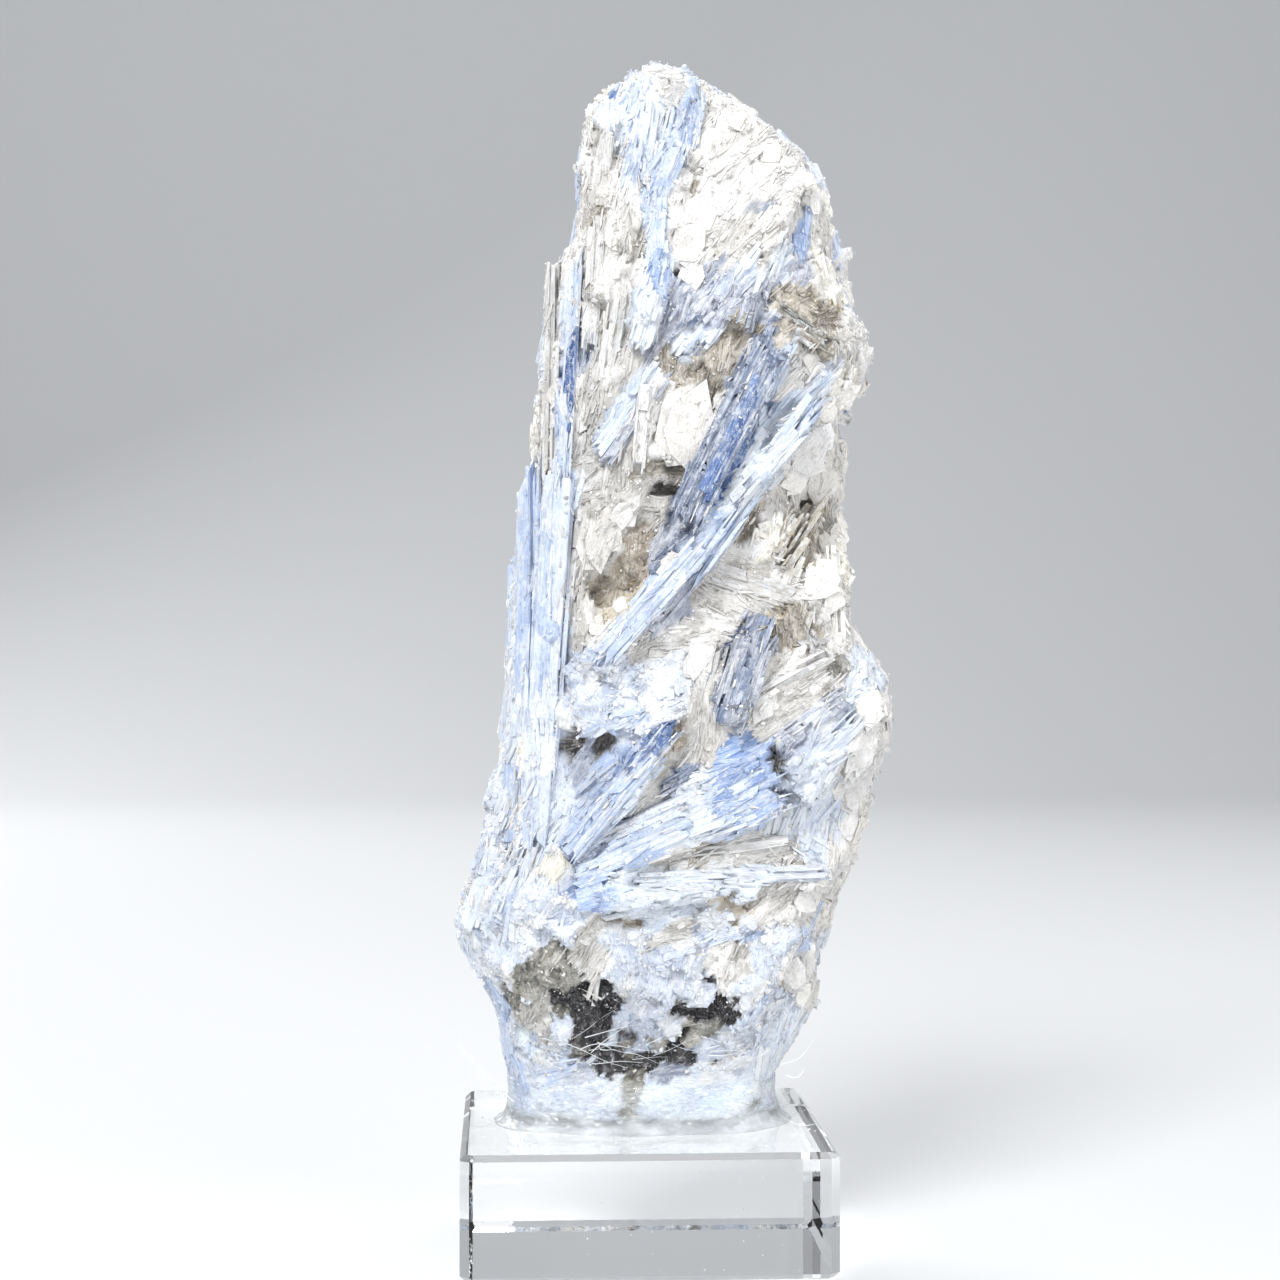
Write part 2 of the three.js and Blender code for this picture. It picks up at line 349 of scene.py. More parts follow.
# %% Colours, depths and habits
MINERALS = {
    "snow": ([(242, 240, 237), (231, 229, 227), (243, 239, 231), (217, 216, 214)], 0.3, "sheet"),
    "quill": ([(242, 240, 237), (231, 229, 227), (243, 239, 231), (217, 216, 214)], 0.2, "fibre"),
    "silver": ([(226, 225, 222), (203, 200, 195), (181, 177, 170), (243, 241, 238)], 0.0, "fibre"),
    "frost": ([(228, 235, 245), (206, 217, 236), (190, 201, 220), (244, 244, 244)], 0.1, "grain"),
    "ice": ([(231, 239, 249), (215, 226, 242), (200, 212, 232), (244, 248, 251)], 0.2, "lath"),
    "sky": ([(206, 220, 244), (187, 204, 236), (223, 232, 247), (166, 186, 220)], 0.3, "lath"),
    "blue": ([(156, 181, 221), (132, 158, 208), (188, 204, 233)], 0.3, "lath"),
    "cobalt": ([(72, 105, 162), (50, 81, 140), (106, 135, 188)], 0.2, "lath"),
    "slate": ([(108, 122, 150), (80, 94, 124), (142, 155, 181)], 0.2, "lath"),
    "ash": ([(158, 167, 186), (132, 141, 160), (187, 193, 207), (207, 211, 220)], -0.3, "lath"),
    "fan": ([(180, 172, 156), (146, 137, 122), (212, 205, 191), (116, 108, 96)], -0.4, "fibre"),
    "cream": ([(249, 246, 237), (239, 234, 220), (252, 250, 245)], 0.2, "sheet"),
    "ochre": ([(210, 197, 170), (188, 173, 144), (230, 222, 206)], -0.5, "crumb"),
    "rust": ([(165, 153, 136), (134, 122, 106), (191, 181, 165)], -1.1, "crumb"),
    "olive": ([(152, 149, 138), (106, 103, 93), (190, 189, 182), (78, 76, 70)], -0.2, "crumb"),
    "coal": ([(20, 19, 21), (10, 10, 11), (36, 34, 37)], -0.5, "crumb"),
    # Sunk patches, not a mineral: their dark greys are painted shade of the recess.
    "hollow": ([(100, 96, 92), (70, 67, 65), (138, 132, 126)], -2.1, "crumb"),
}
NAMES = list(MINERALS)
DEPTHS = np.array([MINERALS[name][1] for name in NAMES])
print(len(NAMES), "minerals")

# %% [markdown]
# The front of the stone is listed patch by patch, because it is the face on show. Each patch
# is an ellipse: how far its middle is across and up from the low left corner of the layout, its
# half length and half width, all in millimetres, and the lean of its crystals in degrees from
# level. The other sides get patches of the same kinds at random.

# %% Patches of the front
LAYOUT_ASIDE = 0.61 * MM  # from the left edge of the stone to the left edge of the layout


def on_layout(across, up):
    """The place of a point of the layout, level with the middle of the block."""
    return Vector((stone_low.x + LAYOUT_ASIDE + across * MM, 0, stone_low.z + up * MM))


FRONT_PATCHES = {
    "quill": [
        (26, 106.8, 2.1, 1.4, 60), (26.2, 103.6, 2.3, 1.4, 70), (31.5, 101.7, 1.8, 1.3, 45),
        (27.3, 98.8, 2.7, 2.1, 60), (33.1, 99.1, 3.7, 2.1, 45), (26, 94.8, 2.7, 1.7, 55),
        (33.1, 94.8, 4.1, 0.9, 45), (34.2, 93.3, 2.9, 0.7, 45), (28.6, 90.4, 3.5, 0.7, 50),
        (16.6, 96.1, 4.1, 1.3, 82), (31.9, 46.5, 4.1, 1.3, 40), (12, 74.6, 2.6, 0.6, 85),
    ],
    "snow": [
        (13.1, 104.6, 1.6, 1, 80), (12.6, 101.2, 1.8, 1, 85), (22.2, 108.3, 1.6, 1.2, 0),
        (36.2, 98.4, 2.5, 1.2, 110), (23, 95.5, 2.5, 1.4, 80), (23.3, 90.8, 1.3, 1.3, 0),
        (11, 90.4, 2.9, 1, 75), (8.9, 75, 5.1, 0.9, 88), (8, 69.4, 1.6, 1.2, 88),
        (18.6, 74.1, 5.3, 0.6, 87), (21.8, 73.4, 3.1, 2.8, 70), (25.8, 72.9, 2.5, 1.2, 60),
        (34.5, 79.3, 2.5, 1.8, 45), (36.3, 69.1, 3.1, 2.3, 50), (38.2, 66.9, 1.4, 1, 90),
        (37.3, 56.5, 2.1, 1.2, 80), (38.7, 52.2, 2.1, 1.4, 100), (23.6, 47.1, 1.9, 1.2, 110),
        (43.2, 43.6, 2.3, 1, 110), (41.2, 37.3, 2.9, 1.7, 80), (38.4, 26.4, 2.1, 1.4, 60),
        (35.5, 22.9, 1.6, 1.4, 90), (35.2, 15.7, 2.5, 1.2, 60), (16.6, 88.7, 2.3, 1.6, 80),
        (38.4, 70.6, 2.6, 1.4, 90), (39, 67, 1.8, 1, 90), (39.2, 55.4, 2.2, 0.9, 90),
        (43.6, 37, 3.4, 1.4, 70), (39.6, 23.6, 2.2, 1, 70), (36.8, 15.2, 2, 1, 80),
        (14.3, 51.4, 1.3, 0.7, 50), (42.4, 40, 2.6, 1.2, 78), (31, 43.4, 1.5, 0.9, 60),
        (22.4, 22.4, 1.6, 0.8, 10),
    ],
    "silver": [
        (13.1, 103.3, 1.1, 1, 85), (14.2, 98.8, 3.7, 1, 84), (16.6, 91.5, 2.1, 1.7, 85),
        (28.2, 103, 1.4, 0.8, 60), (24.9, 99.9, 1.2, 0.9, 60), (26.5, 91.5, 2.9, 0.9, 50),
        (29.6, 93.4, 3.5, 0.9, 48), (31.5, 92.3, 3.7, 0.8, 45), (37.6, 94.6, 2.7, 0.9, 95),
        (9.8, 86.3, 4.5, 1.1, 78), (13.4, 86.8, 6, 0.9, 82), (8.2, 73.4, 4.1, 0.7, 88),
        (13.7, 74.3, 3.1, 1.2, 65), (12.7, 69.2, 1.6, 1.2, 30), (16.4, 68.4, 2.5, 1.6, 80),
        (24.8, 69.7, 2.1, 1, 40), (17.9, 66.4, 3.3, 0.7, 15), (40.8, 80.8, 2.7, 1.2, 100),
        (15.2, 64.1, 2.9, 0.8, 5), (14.6, 61.1, 2.3, 2.3, 40), (19.9, 63.4, 1.4, 1.4, 60),
        (20.1, 49.8, 3.3, 1.1, 10), (27.1, 52.1, 1.4, 1.2, 160), (25.2, 45.2, 2.1, 0.8, 80),
        (36.5, 45.2, 3.1, 1.5, 30), (25.2, 39.8, 2.1, 1.5, 90), (28.1, 28.6, 5.1, 0.8, 8),
        (34.1, 28.3, 1.6, 1, 60), (13.2, 20.1, 1.8, 1.1, 60), (32.2, 22.9, 2.5, 1.3, 30),
        (7.5, 11.3, 1.8, 1.2, 60), (14.3, 17.7, 1.4, 1, 60), (31.9, 41.5, 1.2, 0.8, 40),
        (21.2, 37.4, 2.9, 0.7, 45), (33.3, 64.7, 1.4, 1.5, 110), (27.1, 55.1, 4.1, 1.3, 160),
        (31.2, 57, 3.1, 1.1, 160), (12.3, 58.6, 4, 0.9, 80), (12.6, 53.4, 2.4, 0.8, 80),
        (19.5, 34.6, 2.2, 0.6, 45), (24.2, 18.6, 1.6, 0.8, 60), (15, 80.4, 4.1, 1, 75),
        (17.6, 78.6, 2.6, 0.8, 75), (25.4, 18.3, 2.2, 0.7, 20), (21.6, 20, 1.6, 0.7, 10),
        (17.4, 15.9, 1.6, 0.8, 100), (27, 92, 2.4, 0.3, 55), (29.5, 94.2, 2.2, 0.3, 50),
        (31.5, 90, 2.5, 0.35, 48), (33, 93.5, 1.8, 0.25, 50), (25.5, 95.6, 2, 0.3, 75),
        (34.6, 90.2, 1.6, 0.3, 50), (28.6, 97.6, 1.8, 0.25, 55), (28.1, 17.7, 2.3, 1.1, 80),
        (8.6, 8.6, 1.4, 0.6, 70), (7.2, 18.6, 0.7, 0.4, 40), (6.2, 14.9, 0.6, 0.3, 80),
        (9.4, 17.8, 0.5, 0.3, 70), (7.3, 16.4, 0.45, 0.25, 20),
    ],
    "ice": [
        (19.4, 103.8, 4.3, 0.9, 80), (16.3, 105.4, 2.3, 1.2, 80), (33.1, 89.4, 2.1, 1.2, 50),
        (27.9, 87.3, 2.9, 1.1, 50), (18.9, 84.3, 2.7, 1.2, 75), (18.1, 82.2, 2.1, 1, 75),
        (17.5, 75.4, 4.1, 1.3, 58), (15.4, 72.4, 3.5, 1.3, 50), (9.7, 62.9, 6.2, 0.9, 84),
        (7.4, 52.5, 6.2, 1.5, 85), (35.1, 74.6, 4.3, 0.9, 45), (31.4, 69.9, 4.3, 1.1, 47),
        (28.8, 65.9, 4.1, 1.1, 48), (41.5, 46.5, 2.5, 1.4, 60), (6.9, 45.3, 5.1, 1.6, 81),
        (5.9, 38.1, 5.1, 1.5, 78), (8.8, 42, 4.1, 1.1, 80), (38.3, 42.5, 3.5, 1.6, 40),
        (36.2, 37.2, 3.1, 1.6, 40), (36.5, 33.2, 2.9, 1.6, 60), (38.9, 31.9, 2.7, 1.4, 70),
        (23.9, 35.3, 2.1, 1.4, 20), (24.4, 31.8, 4.3, 0.9, 18), (7.8, 34, 4.1, 1.3, 75),
        (4.6, 33.2, 4.1, 0.9, 80), (9.6, 31.9, 2.7, 1.3, 60), (26.6, 26.2, 8.4, 0.5, 3),
        (36.3, 27.8, 2.3, 1, 150), (17.1, 25.6, 2.7, 0.8, 10), (21.4, 22.9, 4.3, 1.2, 10),
        (11.1, 85, 3.7, 0.5, 82), (36.4, 40.6, 2.2, 1.2, 50), (17.6, 34.6, 2.6, 0.8, 45),
        (33.6, 9, 2, 1.2, 90), (24.8, 81.4, 1.6, 0.8, 40), (1.9, 19.8, 2.1, 1.2, 110),
        (4.8, 18.8, 1.8, 0.9, 80), (23.9, 2.8, 4.1, 1.3, 5), (29.5, 3.4, 2.6, 1.2, 10),
        (31.9, 5.9, 2.7, 1.4, 95), (29.3, 6.3, 1.6, 0.9, 10),
    ],
    "frost": [
        (19.1, 45.7, 3.1, 2.2, 40), (21.6, 47.6, 2, 1.6, 110), (24.2, 17.9, 1.4, 1, 60),
        (10.9, 10.8, 1.3, 1, 60), (29, 13.8, 1.2, 1, 90), (17.8, 8.1, 0.8, 0.5, 0),
        (14.4, 47.8, 3.1, 1.6, 40), (14.4, 43.6, 4.1, 1.5, 150), (4.7, 28.9, 3.7, 2.1, 75),
        (1.4, 23.7, 3.1, 1.2, 75), (7.5, 23.1, 2.9, 2.1, 80), (11.1, 21.8, 2.1, 0.9, 80),
        (25.3, 20.1, 4.3, 0.8, 15), (16, 19, 2.3, 1.7, 100), (18.1, 16.2, 2.9, 1.8, 100),
        (21.4, 16.5, 2.7, 1.5, 80), (31.9, 18.2, 2.1, 1.4, 60), (33, 12.1, 2.3, 1.4, 60),
        (30.8, 14.4, 1.6, 1.2, 80), (30.8, 9.4, 2.3, 1.2, 20), (27.5, 8.3, 2.5, 1.3, 40),
        (7.5, 8, 2.9, 1.8, 100), (11.6, 3.1, 5.3, 1.4, 5), (18.8, 13.4, 2.2, 1.5, 70),
        (19.8, 10.9, 1.2, 0.8, 20), (15.7, 9, 0.7, 0.7, 0), (18.3, 8.2, 0.6, 0.5, 0),
        (23.6, 13.9, 0.7, 1, 60), (25.6, 14, 0.5, 0.3, 20), (20.8, 9.9, 1.4, 0.8, 30),
        (6.8, 20.1, 2.7, 1.4, 80), (3.2, 17.4, 2, 1.2, 100), (26.5, 4.8, 2.4, 0.8, 5),
        (19.3, 12.1, 2.9, 2.1, 100), (26, 21.8, 1.6, 0.8, 20), (8.9, 16.2, 0.6, 0.35, 120),
        (4.9, 15.2, 0.5, 0.3, 60), (6.4, 13.2, 0.5, 0.3, 10),
    ],
    "sky": [
        (23.7, 105.3, 2.7, 1.1, 77), (21.6, 99.9, 3.1, 0.9, 66), (20, 93.8, 3.1, 0.8, 86),
        (17.5, 99.7, 2.9, 0.6, 80), (18.3, 106, 1.6, 1.1, 83), (20.4, 87.3, 2.3, 1, 78),
        (11.7, 88.9, 3.7, 0.5, 80), (9.9, 69.9, 4.5, 0.6, 85), (7.2, 61.7, 6.8, 1.1, 87),
        (32.1, 77.8, 4.1, 0.5, 62), (25.8, 61.7, 4.3, 1.1, 48), (17.9, 52.8, 4.3, 0.9, 51),
        (15.6, 49.9, 2.9, 0.8, 50), (8.3, 55.9, 6.4, 1.3, 86), (9.1, 47.8, 4.1, 0.7, 82),
        (15.6, 42.2, 1.6, 0.7, 30), (15.1, 36, 3.3, 1.1, 45), (13.4, 33.2, 3.5, 0.8, 49),
        (28.4, 34.8, 3.1, 2.1, 20), (19.3, 30.6, 4.3, 0.9, 20), (4.2, 22.9, 2.1, 1, 60),
        (35.8, 19.3, 1.6, 0.8, 60), (29.1, 19.6, 2.3, 0.5, 15), (4.4, 9.2, 3.5, 0.9, 97),
        (22, 18.2, 4.1, 0.5, 20), (8.2, 79.8, 1.4, 0.4, 88), (16, 28.1, 4.1, 0.8, 25),
        (11.2, 63.5, 3.4, 0.3, 84), (5, 4.6, 3, 1.6, 95), (16.5, 42.5, 1.6, 0.8, 30),
        (10, 5, 2.4, 0.9, 20), (26, 2.2, 2, 0.7, 0), (33, 3, 1.6, 0.7, 60),
    ],
    "blue": [
        (23.3, 103.3, 1.2, 0.7, 77), (20.5, 97, 1.6, 0.5, 68), (20.3, 88.4, 1.4, 0.7, 80),
        (35.3, 92.2, 2.5, 0.8, 72), (11.7, 85, 3.5, 0.5, 84), (27.8, 37.6, 2.3, 2.1, 20),
        (16.9, 37.7, 3.1, 0.9, 46), (11, 29.7, 1.6, 0.5, 50), (23.4, 26.2, 1.4, 0.3, 2),
        (13.2, 24.7, 1.6, 1.3, 12), (7.2, 5.9, 0.5, 0.5, 0), (11.7, 30.1, 2.1, 0.4, 50),
        (15.2, 43.7, 0.8, 0.35, 30), (18.2, 41.9, 0.7, 0.35, 30),
    ],
    "cobalt": [
        (15.7, 107.2, 0.9, 0.5, 80), (11.2, 78.3, 4.7, 0.5, 85), (19.6, 39.6, 2.7, 0.7, 52),
        (12.6, 48.1, 0.6, 0.4, 40), (30.2, 12.4, 0.4, 0.4, 0), (27.4, 67.8, 2.7, 0.8, 62),
        (30.3, 75.4, 3.1, 0.7, 62), (29, 34, 1, 0.6, 20),
    ],
    "slate": [
        (27.3, 71.6, 10.1, 1.7, 62.4), (23.9, 83.4, 0.9, 0.4, 20), (27.9, 67.4, 2.7, 0.4, 50),
        (21.7, 35.8, 2.3, 0.8, 25), (14.2, 29.1, 2.7, 0.5, 30), (42.1, 41.5, 1, 0.6, 80),
        (31.6, 34.6, 0.9, 0.7, 120), (28.6, 47.4, 3, 1.2, 70), (31, 81, 2, 0.8, 65),
        (29.4, 51.4, 1.6, 0.7, 70), (29.5, 79.5, 2.7, 0.8, 65), (25.6, 82.6, 1.2, 0.4, 50),
        (28.6, 50.6, 2.2, 0.9, 70),
    ],
    "ash": [
        (31, 95.3, 1.4, 0.8, 45), (25.3, 88.3, 2.7, 1, 50), (22.5, 86.3, 2.3, 1.2, 60),
        (35, 88.7, 1.6, 1.3, 60), (30.5, 84.5, 2.1, 1.1, 60), (12.9, 81.6, 2.7, 0.6, 80),
        (20.1, 80.4, 2.1, 1, 60), (31.3, 83, 1.8, 0.8, 60), (39.3, 79.5, 1.6, 0.8, 30),
        (35.6, 72.2, 1.4, 0.7, 50), (21.4, 61.7, 2.7, 0.7, 60), (22.8, 55.6, 3.7, 1.1, 45),
        (10.4, 57.1, 5.1, 0.6, 84), (12.1, 37.2, 1.8, 0.6, 60), (20.1, 32.3, 5.1, 0.9, 22),
        (36.5, 49.4, 1.6, 0.8, 60), (26.5, 84.6, 2, 1, 50), (23.8, 85.3, 1.4, 0.8, 40),
        (34.6, 40.2, 2.4, 1.1, 35), (24, 18.9, 2, 0.6, 30), (29.4, 45.6, 3.4, 1.1, 70),
        (24.2, 80.2, 1.8, 0.6, 40), (22.4, 79, 1.2, 0.5, 60), (14, 2.8, 1.6, 0.6, 10),
        (21.6, 5.2, 1.2, 0.5, 0), (25.6, 84, 1.8, 0.7, 50), (12.4, 6.4, 1.4, 0.6, 30),
    ],
    "fan": [
        (13.8, 95, 1.4, 0.9, 85), (24.2, 97.7, 1.5, 0.5, 80), (34.2, 85, 3.1, 1.7, 40),
        (22.3, 77.3, 1.6, 1.2, 80), (20.1, 67.6, 2.7, 0.8, 10), (25.6, 77.1, 2.7, 1.1, 75),
        (36.3, 81.6, 2.1, 1.1, 40), (36, 61.9, 3.9, 1.5, 50), (30, 62.9, 1.4, 1, 60),
        (30.5, 54.6, 2.7, 0.7, 165), (35.4, 52.1, 2.1, 0.9, 95), (24.5, 28.3, 1.6, 0.6, 30),
        (28.4, 82.2, 2.4, 1.2, 60), (36.5, 84.3, 2.6, 1.2, 155), (33, 82, 2.2, 1.1, 20),
        (24.8, 78.8, 2.6, 0.9, 80), (27.6, 79.5, 1.8, 0.7, 75), (37, 80.4, 2, 0.9, 20),
        (31, 51.6, 1.6, 0.9, 40), (29, 51.8, 1, 0.7, 100), (29.6, 81.4, 2.2, 1.1, 50),
        (30.7, 79.4, 1.4, 0.6, 60), (33.6, 51.4, 1.8, 0.8, 100), (34.8, 50.2, 1, 0.6, 20),
        (16.6, 77, 1.8, 0.6, 75), (35.2, 82.6, 2, 0.6, -30), (37.5, 83.8, 2.7, 1.3, 30),
        (21, 79.2, 1.4, 0.9, 80), (26.2, 90.6, 1.8, 0.3, 60), (26.9, 92.6, 1.4, 0.25, 60),
    ],
    "cream": [
        (32.1, 61.7, 2.3, 1.2, 70), (39.6, 77.1, 2.5, 1.1, 40), (38.2, 60.1, 2.9, 1.1, 100),
        (39.8, 56.6, 3.1, 0.8, 95), (37.8, 88.1, 2.3, 1.1, 100), (34.7, 48.7, 1.6, 0.9, 30),
        (33.1, 15.4, 1.4, 0.9, 100), (9.1, 26.7, 1.8, 0.8, 80), (40.6, 32.6, 2.6, 1.4, 70),
        (40.8, 75.4, 1.8, 1, 60), (41.2, 37.4, 2.6, 1.4, 78), (16.2, 54, 0.7, 0.4, 50),
        (17.2, 91.4, 1.8, 1.1, 85),
    ],
    "ochre": [
        (38.8, 85.9, 1.4, 0.4, 150), (32.8, 59.9, 0.5, 0.4, 0), (32.7, 53.3, 1, 0.7, 40),
        (26.4, 23.8, 1.2, 0.4, 10), (28.1, 21.3, 1.2, 0.4, 10), (29.7, 22.1, 0.6, 0.4, 0),
        (19.9, 38.5, 1.6, 0.3, 50), (15.4, 53.1, 1.6, 0.6, 50), (17.5, 55, 1.3, 0.5, 60),
    ],
    "rust": [
        (17.6, 59.2, 3.1, 1.1, 80), (22.2, 39.3, 1.5, 1, 80), (16.8, 21.3, 1.6, 0.4, 170),
        (13.1, 56.8, 1.4, 1.2, 60), (29.4, 22.4, 1.4, 0.5, 0), (26.6, 22.8, 0.9, 0.4, 20),
        (30.2, 82.6, 0.9, 0.4, 50), (34.2, 51, 0.9, 0.4, 0),
    ],
    "olive": [
        (8.4, 17.4, 1.4, 1.4, 60), (5.9, 14.2, 2.1, 1.1, 60), (10.2, 15.4, 1.4, 0.7, 150),
        (23.7, 22.9, 1.2, 0.7, 0), (38.9, 47.5, 1, 0.7, 0), (20.4, 8.9, 1.4, 0.5, 0),
        (24.4, 9.9, 1.8, 0.7, 20), (12.6, 7.6, 0.8, 0.6, 0), (17.6, 3.2, 0.7, 2.1, 0),
        (30.2, 1.5, 1.6, 0.3, 15), (10.1, 0.6, 1.4, 0.3, -5), (22.3, 12.8, 0.9, 0.6, 30),
        (26.2, 6.9, 0.9, 0.5, 10), (17, 8.4, 1, 0.5, 170), (12.2, 9.2, 0.9, 0.5, 80),
        (10.4, 12.2, 1.1, 0.6, 60), (33.7, 84.8, 1.6, 0.5, -35), (36.3, 83.6, 1.4, 0.4, -30),
        (38.4, 82.4, 1, 0.35, -30), (33.4, 52.4, 1.2, 0.5, 150), (34.8, 50.9, 0.9, 0.4, 60),
        (26.4, 18, 1, 0.5, 60), (34.8, 83.4, 2, 0.6, -35), (32.6, 84.2, 1.2, 0.5, -40),
        (37, 81.8, 1.4, 0.4, -30), (37.3, 84.8, 1.2, 0.4, -30), (21.3, 79.4, 1.2, 0.5, 80),
        (30.4, 52.6, 1, 0.45, 60),
    ],
    "coal": [
        (15.9, 13.3, 1, 0.8, 60), (15.1, 11.2, 0.9, 0.5, 60), (14.6, 8.8, 0.9, 0.6, 30),
        (15.9, 7.4, 0.9, 0.6, 100), (14.2, 6.2, 0.9, 0.5, 80), (17.4, 9.2, 1.2, 0.5, 95),
        (18.6, 7.5, 0.9, 0.4, 165), (17.1, 5.9, 0.8, 0.4, 20), (20.1, 6.9, 0.8, 0.5, 75),
        (21.6, 7.6, 0.8, 0.5, 110), (22.8, 9.2, 0.9, 0.4, 70), (23.6, 6.7, 0.6, 0.4, 30),
        (21.9, 11.9, 0.8, 0.4, 40), (23.4, 11.3, 0.5, 0.4, 0), (25.3, 15.9, 1.1, 0.7, 80),
        (26.7, 16.6, 0.6, 0.4, 40), (27, 11.6, 1, 0.9, 120), (25, 11.2, 0.6, 0.4, 0),
        (28.2, 13.2, 0.5, 0.4, 60), (6.3, 15.8, 0.6, 0.3, 40), (7.4, 12.8, 0.5, 0.3, 0),
        (13.9, 13.3, 1.9, 1.2, 150), (12.5, 11.5, 1.8, 1.5, 100), (13.5, 9.2, 1.6, 1.1, 110),
        (10.8, 12.9, 1.3, 0.6, 160), (11.6, 9.6, 1, 0.6, 60), (12.8, 7.3, 0.9, 0.5, 60),
        (16.2, 9.6, 0.6, 0.4, 80), (25.7, 17.3, 0.8, 0.4, 60), (26.3, 12.2, 1, 0.7, 20),
        (7.8, 15.4, 0.7, 0.35, 60), (9.4, 14, 0.6, 0.35, 30), (6.6, 13, 0.5, 0.3, 0),
        (15.6, 4.9, 0.5, 0.3, 90), (17.6, 4, 0.9, 0.22, 90), (17.7, 1.9, 0.6, 0.22, 90),
        (8.9, 18.4, 0.4, 0.22, 90), (5.4, 13.9, 0.4, 0.22, 0), (7.1, 17.3, 0.4, 0.2, 140),
    ],
    # Sunk patches and thin cracks, whose grey colour is painted shade.
    "hollow": [
        (22.2, 88.6, 1.4, 0.2, 165), (16.4, 82.5, 0.8, 0.2, 80), (11, 39, 1, 1, 0),
        (14.7, 39.5, 1.3, 0.4, 62), (21.4, 65.9, 1.2, 0.5, 10), (22.6, 68.3, 2.3, 0.3, 12),
        (28.6, 21.1, 0.8, 0.2, 5), (32.9, 36.2, 5, 0.3, 113), (12.2, 55.4, 0.5, 0.4, 0),
        (29, 22.6, 0.7, 0.3, 0), (13.8, 55.6, 0.8, 0.5, 20), (33.2, 83.8, 1.6, 0.25, -40),
        (35.8, 82.6, 1.4, 0.22, -35),
    ],
}
print(sum(len(rows) for rows in FRONT_PATCHES.values()), "patches on the front")

# %% [markdown]
# ## The craggy body
#
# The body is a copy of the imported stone. Voxel remeshing turns it into an even net fine enough to
# carry crags. Each point of the net is then moved along a smoothed normal, so that the crags
# stand straight out of the rock whatever the old facets were.

# %% Copy the stone and remesh it
VOXEL = 0.42 * MM
WELD = 0.002 * MM

bm = bmesh.new()
bm.from_mesh(frame["nodes"]["kyanite_specimen"].data)
bmesh.ops.remove_doubles(bm, verts=bm.verts, dist=WELD)
rough_body = as_object("rough_body", bm)
remesh = rough_body.modifiers.new("remesh", "REMESH")
remesh.mode = "VOXEL"
remesh.voxel_size = VOXEL
evaluated = rough_body.evaluated_get(bpy.context.evaluated_depsgraph_get())
body_mesh = bpy.data.meshes.new_from_object(evaluated)
bpy.data.objects.remove(rough_body)
point_count = len(body_mesh.vertices)
print("body:", point_count, "points,", len(body_mesh.polygons), "faces")


# %% Read the net into arrays and smooth its normals
NORMAL_ROUNDS = 14
POINT_ROUNDS = 2


def read(collection, name, width, kind=np.float64):
    """Reads one property of a mesh's points, edges, corners or faces, a row for each."""
    values = np.empty(len(collection) * width, kind)
    collection.foreach_get(name, values)
    return values.reshape(-1, width) if width > 1 else values


def unit(vectors):
    """Vectors at length one."""
    return vectors / np.maximum(np.linalg.norm(vectors, axis=-1, keepdims=True), 1e-12)


edge_ends = read(body_mesh.edges, "vertices", 2, np.int32)
edge_counts = np.bincount(edge_ends.ravel(), minlength=point_count)


def spread(values, rounds):
    """Averages each point's values with its neighbours', as many rounds as asked."""
    values = values.reshape(point_count, -1)
    for _ in range(rounds):
        sums = np.empty_like(values)
        for column in range(values.shape[1]):
            one = values[:, column]
            into = np.bincount(edge_ends[:, 0], one[edge_ends[:, 1]], point_count)
            into += np.bincount(edge_ends[:, 1], one[edge_ends[:, 0]], point_count)
            sums[:, column] = into / edge_counts
        values = (values + sums) / 2
    return values


points = read(body_mesh.vertices, "co", 3)
normals = unit(spread(read(body_mesh.vertices, "normal", 3), NORMAL_ROUNDS))
points = spread(points, POINT_ROUNDS)
bare_tree = BVHTree.FromPolygons(
    points.tolist(), [tuple(face.vertices) for face in body_mesh.polygons])
print("normals smoothed")

# %% [markdown]
# ### Patches as arrays
#
# A patch on the front is dropped straight onto the body from the front. Patches on the other
# sides are seeded: each takes a random point, a mineral by its share of the rock, and a lean near
# the length of the stone, since most blades run that way.

# %% Build the patch arrays
luck = np.random.default_rng(41)
noise.seed_set(23)  # or noise vectors would start from the clock
# The sunk patches in this mix have painted shade for their colour.
SIDE_MIX = {"ice": 26, "snow": 22, "silver": 17, "sky": 11, "frost": 10, "ash": 6, "blue": 2.5,
            "cobalt": 0.7, "slate": 2.5, "fan": 4, "cream": 4, "ochre": 1, "rust": 1,
            "hollow": 1.2}
FOOT_MIX = {"frost": 38, "ice": 12, "snow": 10, "silver": 12, "olive": 10, "coal": 8, "sky": 6}
PALE_MIX = {"snow": 34, "silver": 16, "cream": 12, "ice": 14, "frost": 10, "sky": 3}
SIDE_PATCHES = 330
SIDE_HALF_LENGTHS = (2.2, 7)  # mm
SIDE_HALF_WIDTHS = (0.8, 2.2)  # mm
HOLLOW_SIZE = 0.4  # of another patch's
LEAN_SPREAD = 0.42  # radians
CROSSWAYS = 0.9  # radians that one patch in four leans further
FOOT_TOP = 0.17  # share of the stone's height where the foot's darker mix ends
TOP_FOOT = 0.93  # and where the paler mix of the top starts

point_tree = KDTree(point_count)
for index, place in enumerate(points):
    point_tree.insert(place, index)
point_tree.balance()


def tangent(direction, normal):
    """The part of a direction that lies along the surface."""
    return unit(direction - normal * np.sum(direction * normal, axis=-1, keepdims=True))


